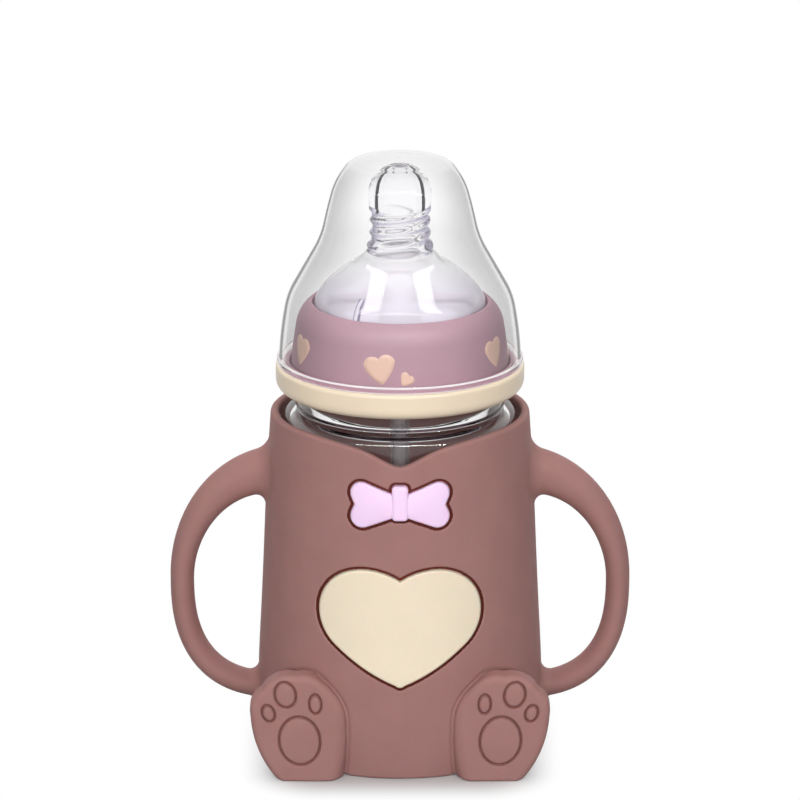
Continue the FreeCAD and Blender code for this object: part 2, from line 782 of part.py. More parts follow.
def build_nipple():
    """Nipple: seal flange, round shoulder, neck with two spiral ribs, and a bulb with a dimpled milk hole."""
    body = new_body("Nipple")
    seat = "glass_rim_z + adapter_flange_thick"
    flange = f"{seat} + nipple_flange_thick"
    bulb_in = "(nipple_bulb_r - nipple_wall)"
    neck_in = "nipple_neck_r - nipple_wall"
    skirt_in = "nipple_skirt_r - nipple_wall"
    bulb_foot = "nipple_bulb_z - nipple_bulb_drop"
    revolve(body, "NippleTurned", [
        (skirt_in, seat),
        ("nipple_flange_r", seat),
        ("nipple_flange_r", flange),
        ("nipple_skirt_r", flange),
        ("nipple_skirt_r", "nipple_skirt_z", "nipple_shoulder_bend"),
        ("nipple_shoulder_r", "nipple_shoulder_z", "-nipple_throat_bend"),
        ("nipple_neck_r", "nipple_neck_low_z"),
        ("nipple_neck_r", "nipple_neck_high_z"),
        ("sqrt(nipple_bulb_r ^ 2 - nipple_bulb_drop ^ 2)", bulb_foot, "nipple_bulb_r"),
        ("nipple_dimple_r", "nipple_bulb_z + sqrt(nipple_bulb_r ^ 2 - nipple_dimple_r ^ 2)"),
        ("nipple_hole_r", "nipple_bulb_z + nipple_bulb_r - nipple_dimple_depth"),
        ("nipple_hole_r", f"nipple_bulb_z + sqrt({bulb_in} ^ 2 - nipple_hole_r ^ 2)", f"-{bulb_in}"),
        (f"sqrt({bulb_in} ^ 2 - nipple_bulb_drop ^ 2)", bulb_foot),
        (neck_in, "nipple_neck_high_z"),
        (neck_in, "nipple_neck_low_z", "nipple_throat_bend + nipple_wall"),
        ("nipple_shoulder_r - nipple_wall", "nipple_shoulder_z - nipple_wall",
         "-(nipple_shoulder_bend - nipple_wall)"),
        (skirt_in, "nipple_skirt_z - nipple_wall"),
    ])
    rib = body.newObject("Sketcher::SketchObject", "NippleRibCircle")
    rib.AttachmentSupport = [(plane_of(body, "XZ_Plane"), "")]
    rib.MapMode = "FlatFace"
    add_circle(rib, "nipple_neck_r - nipple_spiral_sunk", "nipple_spiral_z", "nipple_spiral_r")
    spiral = body.newObject("PartDesign::AdditiveHelix", "NippleSpiral")
    spiral.Profile = rib
    spiral.ReferenceAxis = (rib, ["V_Axis"])
    spiral.Mode = "pitch-turns-angle"
    bind(spiral, "Pitch", "nipple_spiral_pitch")
    bind(spiral, "Turns", "nipple_spiral_turns")
    doc.recompute()
    ring_of(body, "NippleSpirals", spiral, "nipple_spirals")
    return finish(body, "nipple")


def build_screw_collar():
    """Collar that screws onto the finish and holds the nipple's flange down by its crown."""
    body = new_body("Collar")
    under = "glass_rim_z + adapter_flange_thick + nipple_flange_thick"
    foot = "collar_foot_z + collar_foot_rise"
    revolve(body, "CollarTurned", [
        ("collar_bore_r", "collar_foot_z"),
        ("collar_foot_r", "collar_foot_z"),
        ("collar_foot_r", foot),
        ("collar_skirt_r", foot, "collar_shoulder_bend"),
        ("collar_shoulder_r", "collar_shoulder_z", "collar_crown_bend"),
        ("collar_crown_r", "collar_top_z"),
        ("collar_opening_r", "collar_top_z"),
        ("collar_opening_r", under),
        ("collar_lock_r", under),
        ("collar_bore_r", "collar_foot_z + collar_lock_rise"),
    ])
    return finish(body, "screw_collar")


def build_trim_ring():
    """Ring round the collar's foot, with a ledge for the dust cap and a lip that goes inside the cap."""
    body = new_body("Ring")
    rabbet = "collar_foot_z + collar_foot_rise"
    revolve(body, "RingTurned", [
        ("collar_foot_r + ring_gap", "ring_foot_z"),
        ("ring_r - ring_foot_edge", "ring_foot_z", "ring_foot_edge"),
        ("ring_r", "ring_foot_z + ring_foot_edge"),
        ("ring_r", "ring_ledge_z - ring_ledge_edge", "ring_ledge_edge"),
        ("ring_r - ring_ledge_edge", "ring_ledge_z"),
        ("ring_lip_r", "ring_ledge_z"),
        ("ring_lip_r", "ring_lip_z"),
        ("collar_skirt_r + ring_gap", "ring_lip_z"),
        ("collar_skirt_r + ring_gap", rabbet),
        ("collar_foot_r + ring_gap", rabbet),
    ])
    return finish(body, "trim_ring")


def build_dust_cap():
    """Clear bell with a bead round its mouth, one wall thick all over."""
    body = new_body("Cap")
    side = [
        ("cap_foot_r", "ring_ledge_z + cap_bead_height", "cap_skirt_bend"),
        ("cap_skirt_r", "cap_skirt_z", "cap_shoulder_bend"),
        ("cap_shoulder_r", "cap_shoulder_z"),
        ("cap_throat_r", "cap_throat_z", "-cap_throat_bend"),
        ("cap_neck_r", "cap_neck_z", "cap_side_bend"),
        ("cap_side_r", "cap_side_z", "cap_brow_bend"),
        ("cap_brow_r", "cap_brow_z", "cap_corner_bend"),
        ("cap_crown_r", "cap_crown_z", "cap_crown_bend"),
        ("0", axis_height("cap_crown_r", "cap_crown_z", "cap_crown_bend")),
    ]
    inside = inner_face(side, "cap_wall")
    crown_in = "cap_crown_bend - cap_wall"
    inside[0] = ("0", axis_height(inside[1][0], inside[1][1], crown_in), f"-({crown_in})")
    revolve(body, "CapBell", [
        ("cap_foot_r - cap_wall", "ring_ledge_z"),
        ("cap_bead_r - cap_bead_edge", "ring_ledge_z", "cap_bead_edge"),
        ("cap_bead_r", "ring_ledge_z + cap_bead_edge"),
        ("cap_bead_r", "ring_ledge_z + cap_bead_height"),
        *side,
        *inside,
    ])
    return finish(body, "dust_cap")


def build_straw_tube():
    """Straight straw from the adapter's socket to the weight."""
    body = new_body("Straw")
    revolve(body, "StrawTurned", [
        ("straw_bore_r", "straw_foot_z"),
        ("straw_r", "straw_foot_z"),
        ("straw_r", "straw_top_z"),
        ("straw_bore_r", "straw_top_z"),
    ])
    return finish(body, "straw_tube")


def build_weight_housing():
    """Cup that hangs on the straw's foot, open below for the steel ring."""
    body = new_body("WeightHousing")
    chamber = "weight_r - weight_wall"
    roof = "straw_foot_z - weight_roof"
    revolve(body, "HousingTurned", [
        (chamber, "weight_foot_z"),
        ("weight_r", "weight_foot_z"),
        ("weight_r", "weight_side_z", "weight_r - weight_neck_r"),
        ("weight_neck_r", "weight_shoulder_z"),
        ("weight_neck_r", "weight_neck_z"),
        ("straw_r", "weight_neck_z"),
        ("straw_r", "straw_foot_z"),
        ("straw_bore_r", "straw_foot_z"),
        ("straw_bore_r", roof),
        (chamber, roof),
    ])
    return finish(body, "weight_housing")


def build_steel_weight():
    """Steel ring round the milk's way, with chamfered edges."""
    body = new_body("SteelWeight")
    low = "weight_foot_z + endcap_plug_rise"
    high = f"{low} + steel_height"
    revolve(body, "SteelTurned", [
        ("steel_bore_r", low),
        ("steel_r - steel_edge", low),
        ("steel_r", f"{low} + steel_edge"),
        ("steel_r", f"{high} - steel_edge"),
        ("steel_r - steel_edge", high),
        ("steel_bore_r", high),
    ])
    return finish(body, "steel_weight")


def build_weight_end_cap():
    """Rounded foot with a plug into the cup and a ring of slots that the milk enters by."""
    body = new_body("WeightEndCap")
    plug = "weight_r - weight_wall - fit_gap"
    foot = "weight_foot_z - endcap_thick"
    revolve(body, "EndCapTurned", [
        ("0", foot),
        ("weight_r - endcap_edge", foot, "endcap_edge"),
        ("weight_r", f"{foot} + endcap_edge"),
        ("weight_r", "weight_foot_z"),
        (plug, "weight_foot_z"),
        (plug, "weight_foot_z + endcap_plug_rise"),
        (f"{plug} - endcap_plug_wall", "weight_foot_z + endcap_plug_rise"),
        (f"{plug} - endcap_plug_wall", "weight_foot_z"),
        ("0", "weight_foot_z"),
    ])
    half = "endcap_slot_width / 2"
    slot = pocket(body, "EndCapSlot", outline(body, "EndCapSlotOutline", "XY_Plane", [
        ("endcap_slot_from", f"-{half}"),
        ("endcap_slot_to", f"-{half}", "endcap_slot_bend"),
        ("endcap_slot_to", half),
        ("endcap_slot_from", half, "endcap_slot_bend"),
    ]))
    ring_of(body, "EndCapSlots", slot, "endcap_slots")
    return finish(body, "weight_end_cap")


def check_and_write(pieces):
    """Stops on a failed object or shape, then writes each sub-part to its own file."""
    for thing in doc.Objects:
        if {"Invalid", "Error"} & set(thing.State):
            raise RuntimeError(f"{thing.Name} failed: {thing.getStatusString()}")
    for piece in pieces:
        shape = piece.Shape
        if shape.isNull() or not shape.isValid() or len(shape.Solids) != 1:
            raise RuntimeError(f"{piece.Label} is not one valid solid")
    os.makedirs("parts", exist_ok=True)
    for piece in pieces:
        piece.Shape.exportStep(f"parts/{piece.Label}.step")
        print(f"{piece.Label}: {piece.Shape.Volume / 1000:.2f} cm3")


check_and_write([
    build_sleeve(),
    build_heart(),
    build_bow(),
    build_glass_bottle(),
    build_straw_adapter(),
    build_nipple(),
    build_screw_collar(),
    build_trim_ring(),
    build_dust_cap(),
    build_straw_tube(),
    build_weight_housing(),
    build_steel_weight(),
    build_weight_end_cap(),
])
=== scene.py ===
import math

import bpy
import numpy as np
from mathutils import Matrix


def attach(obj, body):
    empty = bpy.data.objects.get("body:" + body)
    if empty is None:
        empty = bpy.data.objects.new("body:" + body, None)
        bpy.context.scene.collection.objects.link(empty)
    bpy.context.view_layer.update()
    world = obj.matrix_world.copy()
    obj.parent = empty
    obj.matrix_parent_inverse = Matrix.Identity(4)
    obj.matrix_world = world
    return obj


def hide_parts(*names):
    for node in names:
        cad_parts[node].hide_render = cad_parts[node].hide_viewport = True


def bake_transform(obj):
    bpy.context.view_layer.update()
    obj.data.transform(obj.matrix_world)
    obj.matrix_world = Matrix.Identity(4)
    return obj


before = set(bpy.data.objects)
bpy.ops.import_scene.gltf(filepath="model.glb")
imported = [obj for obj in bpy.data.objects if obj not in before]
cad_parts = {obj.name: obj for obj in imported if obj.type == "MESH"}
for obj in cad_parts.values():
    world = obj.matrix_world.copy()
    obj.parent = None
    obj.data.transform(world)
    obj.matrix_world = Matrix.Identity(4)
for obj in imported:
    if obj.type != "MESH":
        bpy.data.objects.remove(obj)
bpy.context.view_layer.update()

# Lengths in this script are millimetres in the frame of the solids, and pieces are made in metres
MM = 0.001


# Curves and outlines

def smooth_curve(knots, level_ends=False):
    """Function through (x, y) knots with an even bend, and level at both ends if asked."""
    x, y = np.array(knots, float).T
    step, rise = np.diff(x), np.diff(y)
    count = len(x)
    system, load = np.eye(count), np.zeros(count)
    for i in range(1, count - 1):
        system[i, i - 1:i + 2] = 1 / step[i - 1], 2 / step[i - 1] + 2 / step[i], 1 / step[i]
        load[i] = 3 * (rise[i - 1] / step[i - 1] ** 2 + rise[i] / step[i] ** 2)
    if not level_ends:
        for end, inner, span in ((0, 1, 0), (count - 1, count - 2, count - 2)):
            system[end, [end, inner]] = 2, 1
            load[end] = 3 * rise[span] / step[span]
    slope = np.linalg.solve(system, load)

    def read(at):
        at = np.clip(at, x[0], x[-1])
        i = np.clip(np.searchsorted(x, at) - 1, 0, count - 2)
        t = (at - x[i]) / step[i]
        starts = y[i] * (1 + 2 * t) + slope[i] * step[i] * t
        ends = y[i + 1] * (3 - 2 * t) + slope[i + 1] * step[i] * (t - 1)
        return starts * (1 - t) ** 2 + ends * t * t

    return read


def curve_through(points, pitch):
    """Points about a pitch apart on the smooth curve through a few given ones."""
    points = np.array(points, float)
    run = np.append(0, np.cumsum(np.hypot(*np.diff(points, axis=0).T)))
    at = np.linspace(0, run[-1], max(2, round(run[-1] / pitch)))
    return np.stack([smooth_curve(np.stack([run, column], 1))(at) for column in points.T], 1)


def trace(stops, pitch, closed=True):
    """Points along an outline of (x, y) stops. A third number is the radius of an arc to the next stop,
    which turns left when it is positive."""
    points = []
    for stop, following in zip(stops, stops[1:] + stops[:1] if closed else stops[1:]):
        start, chord = np.array(stop[:2], float), np.subtract(following[:2], stop[:2])
        length = math.hypot(*chord)
        if len(stop) > 2:
            bend = abs(stop[2])
            half_turn = math.asin(min(1, length / 2 / bend))
            left = np.array([-chord[1], chord[0]]) / length
            centre = start + chord / 2 + left * math.copysign(bend * math.cos(half_turn), stop[2])
            share = np.arange(max(2, math.ceil(2 * half_turn * bend / pitch)))
            turn = math.copysign(2 * half_turn, stop[2]) * share / len(share)
            angle = math.atan2(*(start - centre)[::-1]) + turn
            points += list(centre + bend * np.stack([np.cos(angle), np.sin(angle)], 1))
        else:
            share = np.arange(max(1, math.ceil(length / pitch)))
            points += list(start + chord * share[:, None] / len(share))
    return np.array(points if closed else points + [stops[-1][:2]], float)


def rounded(corners, closed=True):
    """Stops of an outline whose corners, (x, y, radius), are rounded."""
    stops = []
    for i, corner in enumerate(corners):
        here = np.array(corner[:2], float)
        if len(corner) < 3 or not closed and i in (0, len(corners) - 1):
            stops.append(tuple(here))
            continue
        back = np.subtract(corners[i - 1][:2], here)
        ahead = np.subtract(corners[(i + 1) % len(corners)][:2], here)
        back, ahead = back / math.hypot(*back), ahead / math.hypot(*ahead)
        left_turn = back[1] * ahead[0] - back[0] * ahead[1]
        reach = corner[2] / math.tan(math.acos(np.clip(back @ ahead, -1, 1)) / 2)
        stops.append((*(here + back * reach), math.copysign(corner[2], left_turn)))
        stops.append(tuple(here + ahead * reach))
    return stops


def open_line(corners, pitch):
    """Points along an open line whose corners, (x, y, radius), are rounded."""
    return trace(rounded(corners, closed=False), pitch, closed=False)


def offset(points, distance):
    """Open line moved to its left by a distance."""
    along = np.gradient(points, axis=0)
    along /= np.hypot(*along.T)[:, None]
    return points + distance * np.stack([-along[:, 1], along[:, 0]], 1)


def distance_to(outline, x, y):
    """Distance from places to a closed outline of points, negative inside it."""
    shape = np.broadcast(x, y).shape
    place = np.stack([np.broadcast_to(x, shape).ravel(), np.broadcast_to(y, shape).ravel()], 1)
    nearest = np.full(len(place), np.inf)
    inside = np.zeros(len(place), bool)
    for start, end in zip(outline, np.roll(outline, -1, axis=0)):
        edge, to = end - start, place - start
        share = np.clip(to @ edge / (edge @ edge), 0, 1)
        nearest = np.minimum(nearest, ((to - share[:, None] * edge) ** 2).sum(1))
        across = (start[1] > place[:, 1]) != (end[1] > place[:, 1])
        rise = edge[1] if edge[1] else 1.0
        inside ^= across & (place[:, 0] < start[0] + (place[:, 1] - start[1]) / rise * edge[0])
    return np.where(inside, -1, 1).reshape(shape) * np.sqrt(nearest).reshape(shape)


class Table:
    """Functions of two lengths, worked out once on a grid and read between its points."""

    def __init__(self, low, high, pitch, function):
        self.low, self.pitch = low, pitch
        u, v = (np.arange(a, b + pitch, pitch) for a, b in zip(low, high))
        self.layers = np.atleast_3d(function(u[:, None], v[None, :]))

    def __call__(self, u, v):
        rows, columns, layers = self.layers.shape
        u = np.clip((u - self.low[0]) / self.pitch, 0, rows - 1.001)
        v = np.clip((v - self.low[1]) / self.pitch, 0, columns - 1.001)
        i, j = u.astype(int), v.astype(int)
        u, v = u - i, v - j
        read = [
            (layer[i, j] * (1 - u) + layer[i + 1, j] * u) * (1 - v)
            + (layer[i, j + 1] * (1 - u) + layer[i + 1, j + 1] * u) * v
            for layer in np.moveaxis(self.layers, 2, 0)
        ]
        return read if layers > 1 else read[0]


# Solid fields: distances that are negative inside a form

def common(a, b, radius):
    """What two forms share, with the edge between them rounded."""
    u, v = np.maximum(a + radius, 0), np.maximum(b + radius, 0)
    return np.minimum(np.maximum(a, b), -radius) + np.sqrt(u * u + v * v)


def joined(a, b, radius):
    """Two forms together, with a fillet where they meet."""
    return -common(-a, -b, radius)


def eased(at, start, length):
    """Share from 0 to 1 that starts and stops gently over a length from a start."""
    share = np.clip((at - start) / length, 0, 1)
    return share * share * (3 - 2 * share)


def between(value, low, high):
    return (value > low) & (value < high)


def slope_of(field, points, reach=0.08):
    """Direction in which a field grows, at points."""
    slope = np.empty_like(points)
    for axis in range(3):
        ahead, behind = points.copy(), points.copy()
        ahead[:, axis] += reach
        behind[:, axis] -= reach
        slope[:, axis] = (field(*ahead.T) - field(*behind.T)) / (2 * reach)
    return slope


def skin(field, axes, rounds=3, most=0.35):
    """Vertices and quads on a field's surface: one vertex in each cell of a grid that the surface passes,
    evened out and then moved onto the surface."""
    slabs = np.array_split(axes[0], max(1, len(axes[0]) // 24))
    values = np.concatenate([
        field(*np.meshgrid(slab, axes[1], axes[2], indexing="ij", sparse=True)) for slab in slabs])
    cells = np.array(values.shape) - 1
    owners, places, quads = [], [], []
    for a in range(3):
        b, c = (a + 1) % 3, (a + 2) % 3
        low = np.take(values, range(cells[a]), axis=a)
        high = np.take(values, range(1, cells[a] + 1), axis=a)
        edges = np.argwhere((low < 0) != (high < 0))
        edges = edges[np.all((edges[:, [b, c]] > 0) & (edges[:, [b, c]] < cells[[b, c]]), axis=1)]
        first, second = low[tuple(edges.T)], high[tuple(edges.T)]
        place = np.stack([axes[k][edges[:, k]] for k in range(3)], 1)
        place[:, a] += first / (first - second) * (axes[a][edges[:, a] + 1] - place[:, a])
        ring = []
        for back_b, back_c in ((1, 1), (0, 1), (0, 0), (1, 0)):
            cell = edges.copy()
            cell[:, b] -= back_b
            cell[:, c] -= back_c
            ring.append(np.ravel_multi_index(tuple(cell.T), tuple(cells)))
        ring = np.stack(ring, 1)
        owners.append(ring.ravel())
        places.append(np.repeat(place, 4, axis=0))
        quads.append(np.where((first > 0)[:, None], ring[:, ::-1], ring))
    owners, places = np.concatenate(owners), np.concatenate(places)
    used, owner = np.unique(owners, return_inverse=True)
    share = np.bincount(owner)
    points = np.stack([np.bincount(owner, column) / share for column in places.T], 1)
    quads = np.searchsorted(used, np.concatenate(quads))
    for turn in range(rounds):
        if turn:
            points = evened(points, quads)
        for _ in range(2):
            slope = slope_of(field, points)
            move = slope * (field(*points.T) / np.maximum((slope ** 2).sum(1), 0.05))[:, None]
            length = np.sqrt((move ** 2).sum(1))
            points -= move * np.minimum(1, most / np.maximum(length, 1e-9))[:, None]
    slope = slope_of(field, points)
    return points, quads, slope / np.sqrt((slope ** 2).sum(1))[:, None]


def evened(points, quads):
    """Points moved half way to the middle of their neighbours."""
    ends = np.concatenate([quads, np.roll(quads, -1, axis=1)]).ravel()
    others = np.concatenate([np.roll(quads, -1, axis=1), quads]).ravel()
    share = np.bincount(ends, minlength=len(points))
    middle = np.stack([np.bincount(ends, points[others, k], len(points)) / share for k in range(3)], 1)
    return (points + middle) / 2


def grid_line(*stretches):
    """Coordinates along one axis of a grid, from stretches (start, end, pitch) that follow on."""
    coarser = 1
    lines = [np.linspace(a, b, max(2, round((b - a) / pitch / coarser)), endpoint=False)
             for a, b, pitch in stretches]
    return np.append(np.concatenate(lines), stretches[-1][1])


# Meshes

def wall(lower, upper, around):
    """Quads between rows of vertices, each row closed into a ring."""
    column = np.arange(around)
    following = (column + 1) % around
    corners = (lower, column), (lower, following), (upper, following), (upper, column)
    return np.stack([row[:, None] * around + place for row, place in corners], 2).reshape(-1, 4)


def lathe(profile, around, shape=None):
    """Vertices and faces of a profile (radius, height) turned about the Z axis. A profile whose ends are on
    the axis makes a solid, and any other is closed into a ring. shape(radius, height, angle, row) gives new
    radii and heights."""
    profile = np.array(profile, float)
    poles = profile[0, 0] < 1e-6
    body = profile[1:-1] if poles else profile
    angle = np.arange(around) * 2 * math.pi / around
    radius, height = (np.repeat(column[:, None], around, 1) for column in body.T)
    if shape:
        radius, height = shape(radius, height, angle[None, :], np.arange(len(body))[:, None])
    points = np.stack([radius * np.cos(angle), radius * np.sin(angle), height], 2).reshape(-1, 3)
    lower = np.arange(len(body) - 1 if poles else len(body))
    faces = wall(lower, (lower + 1) % len(body), around).tolist()
    if poles:
        start, end, top = len(points), len(points) + 1, (len(body) - 1) * around
        points = np.concatenate([points, [(0, 0, profile[0, 1]), (0, 0, profile[-1, 1])]])
        faces += [(start, (k + 1) % around, k) for k in range(around)]
        faces += [(end, top + k, top + (k + 1) % around) for k in range(around)]
    return points, faces


def new_object(name, data):
    thing = bpy.data.objects.new(name, data)
    bpy.context.scene.collection.objects.link(thing)
    return thing


def piece(name, points, faces, material, body=None, stands_for=(), normals=None):
    """Smooth mesh object in the frame of the solids, riding on a body. material is its name in MATERIALS."""
    mesh = bpy.data.meshes.new(name)
    corners = faces.tolist() if isinstance(faces, np.ndarray) else faces
    mesh.from_pydata((np.asarray(points) * MM).tolist(), [], corners)
    mesh.validate()
    mesh.shade_smooth()
    if normals is not None:
        mesh.normals_split_custom_set_from_vertices(normals.tolist())
    mesh.materials.append(MATERIALS[material])
    thing = new_object(name, mesh)
    if body:
        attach(thing, body)
    if stands_for:
        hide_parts(*stands_for)
    return thing


def line_rows(thing, material, rows, around):
    """Gives some rows of a lathe a material of their own."""
    thing.data.materials.append(MATERIALS[material])
    for row in rows:
        for number in range(row * around, (row + 1) * around):
            thing.data.polygons[number].material_index = len(thing.data.materials) - 1


# Materials

# Values between which most of the noise lies
NOISE_SPAN = 0.3, 0.7


def linear(code):
    """Linear colour of an sRGB hex code."""
    parts = [int(code[k:k + 2], 16) / 255 for k in (1, 3, 5)]
    return tuple(p / 12.92 if p <= 0.04045 else ((p + 0.055) / 1.055) ** 2.4 for p in parts)


def put(owner, socket, value):
    """Sets a socket of a material's or the world's node, or links it to the output of another node."""
    if isinstance(value, bpy.types.NodeSocket):
        owner.node_tree.links.new(value, socket)
    else:
        socket.default_value = value


def feed(owner, node, **inputs):
    """Fills inputs of a node, whose names have _ for a space."""
    for name, value in inputs.items():
        put(owner, node.inputs[name.replace("_", " ")], value)
    return node


def add_node(owner, kind, **inputs):
    return feed(owner, owner.node_tree.nodes.new(f"ShaderNode{kind}"), **inputs)


def feed_shader(material, **inputs):
    return feed(material, material.node_tree.nodes["Principled BSDF"], **inputs)


def new_material(name, **inputs):
    """Principled material with plain values on its shader's sockets."""
    material = bpy.data.materials.new(name)
    material.use_nodes = True
    feed_shader(material, **inputs)
    return material


def maths(owner, operation, *terms):
    """Result of a Math node."""
    node = add_node(owner, "Math")
    node.operation = operation
    for socket, term in zip(node.inputs, terms):
        put(owner, socket, term)
    return node.outputs[0]


def spread_over(material, source, start, end, low=0.0, high=1.0, smooth=False):
    """Value that goes from low to high as a source goes from start to end."""
    spread = add_node(material, "MapRange", Value=source, From_Min=start, From_Max=end, To_Min=low, To_Max=high)
    if smooth:
        spread.interpolation_type = "SMOOTHSTEP"
    return spread.outputs["Result"]


def upwards(material, coordinate):
    """Z of one of the piece's own coordinates."""
    place = add_node(material, "TexCoord").outputs[coordinate]
    return add_node(material, "SeparateXYZ", Vector=place).outputs["Z"]


def mixed(material, share, low, high):
    """Colour between two, which are linear colours or outputs of nodes."""
    mix = add_node(material, "Mix")
    mix.data_type = "RGBA"
    low, high = ((*colour, 1) if isinstance(colour, tuple) else colour for colour in (low, high))
    return feed(material, mix, Factor=share, A=low, B=high).outputs["Result"]


def noise_at(material, size, stretch=(1, 1, 1)):
    """Noise with features about a size in mm, fixed to the piece."""
    place = add_node(material, "TexCoord").outputs["Object"]
    place = add_node(material, "Mapping", Vector=place, Scale=stretch).outputs["Vector"]
    noise = add_node(material, "TexNoise", Vector=place, Scale=1 / (size * MM), Detail=3.0, Roughness=0.55)
    return noise.outputs["Fac"]


def mottled(material, colour, size, share):
    """Base colour that wanders by a share round its own value."""
    low, high = (tuple(min(1, c * scale) for c in colour) for scale in (1 - share, 1 + share))
    wander = spread_over(material, noise_at(material, size), *NOISE_SPAN)
    feed_shader(material, Base_Color=mixed(material, wander, low, high))


def rough(material, size, low, high, stretch=(1, 1, 1)):
    """Roughness that wanders between two values."""
    source = noise_at(material, size, stretch)
    feed_shader(material, Roughness=spread_over(material, source, *NOISE_SPAN, low, high))


def grained(material, size, height, stretch=(1, 1, 1)):
    """Fine relief of a height in mm."""
    source = noise_at(material, size, stretch)
    bump = add_node(material, "Bump", Strength=1.0, Distance=height * MM, Height=source)
    feed_shader(material, Normal=bump.outputs["Normal"])


def mixed_shader(owner, share, low, high, target=None):
    """Shader between two, led to the output node if given."""
    mix = add_node(owner, "MixShader")
    for socket, source in zip(mix.inputs, (share, low.outputs[0], high.outputs[0])):
        put(owner, socket, source)
    if target:
        feed(owner, target, Surface=mix.outputs[0])
    return mix


def see_through(material):
    """Lets lamps and soft light through a clear material, so that they reach what it covers."""
    nodes = material.node_tree.nodes
    path = add_node(material, "LightPath").outputs
    either = maths(material, "MAXIMUM", path["Is Shadow Ray"], path["Is Diffuse Ray"])
    clear = add_node(material, "BsdfTransparent")
    mixed_shader(material, either, nodes["Principled BSDF"], clear, nodes["Material Output"])


def paint_edge_shade(material, stops, crown=None):
    """Clear material with painted shade where it is looked along, grey bands and a dark outline. stops are
    (facing, sRGB code), and crown says where that painted shade fades to a colour as the skin turns up: start,
    end, sRGB code."""
    facing = add_node(material, "LayerWeight", Blend=0.5).outputs["Facing"]
    ramp = add_node(material, "ValToRGB", Fac=facing)
    elements = ramp.color_ramp.elements
    while len(elements) < len(stops):
        elements.new(0.5)
    for element, (place, code) in zip(elements, stops):
        element.position = place
        element.color = (*linear(code), 1)
    colour = ramp.outputs["Color"]
    if crown:
        level = maths(material, "ABSOLUTE", upwards(material, "Normal"))
        colour = mixed(material, spread_over(material, level, *crown[:2]), colour, linear(crown[2]))
    feed_shader(material, Base_Color=colour)


def graded(material, low, high):
    """Clear material that changes with height. low and high are (height in mm, sRGB code, clearness)."""
    rise = spread_over(material, upwards(material, "Object"), low[0] * MM, high[0] * MM, smooth=True)
    feed_shader(material, Base_Color=mixed(material, rise, linear(low[1]), linear(high[1])),
                Transmission_Weight=spread_over(material, rise, 0.0, 1.0, low[2], high[2]))
    return material


def soft_silicone(name, code, low, high, wander, depth):
    """Matte moulded silicone, faintly mottled, with a fine texture. depth is how far light soaks in."""
    material = new_material(name, Subsurface_Weight=0.22, Subsurface_Scale=depth * MM,
                            Specular_IOR_Level=0.07)
    mottled(material, linear(code), 9.0, wander)
    rough(material, 3.0, low, high)
    grained(material, 0.35, 0.012)
    return material


def moulded_plastic(name, code, low, high):
    """Opaque moulded plastic with a faint texture."""
    material = new_material(name, Specular_IOR_Level=0.3)
    mottled(material, linear(code), 12.0, 0.025)
    rough(material, 4.0, low, high)
    grained(material, 0.5, 0.006)
    return material


def clear_material(name, index, low, high, edges=None, clear=1.0, code="#FFFFFF", crown=None):
    """Clear glass, plastic or silicone. clear is the share of light that passes, and the rest is haze. edges
    are stops of painted edge shade.
    """
    material = new_material(name, Transmission_Weight=clear, IOR=index, Base_Color=(*linear(code), 1))
    rough(material, 6.0, low, high)
    if edges:
        paint_edge_shade(material, edges, crown)
    see_through(material)
    return material


def paint_dark_edge(material, start, end):
    """Clear material painted black where its inside is seen edge-on, between two values of facing: a painted
    dark line.
    """
    facing = add_node(material, "LayerWeight", Blend=0.5).outputs["Facing"]
    within = maths(material, "MULTIPLY", facing, add_node(material, "NewGeometry").outputs["Backfacing"])
    fade = spread_over(material, within, start, end, 1.0, 0.02)
    feed_shader(material, Base_Color=fade, Transmission_Weight=fade,
                Specular_IOR_Level=maths(material, "MULTIPLY", fade, 0.5))
    return material


def brushed_steel(name):
    """Ground steel with fine turning marks round the axis."""
    material = new_material(name, Metallic=1.0)
    mottled(material, (0.62, 0.62, 0.64), 2.0, 0.05)
    rough(material, 0.6, 0.22, 0.38, (1, 1, 12))
    grained(material, 0.4, 0.004, (1, 1, 14))
    return material


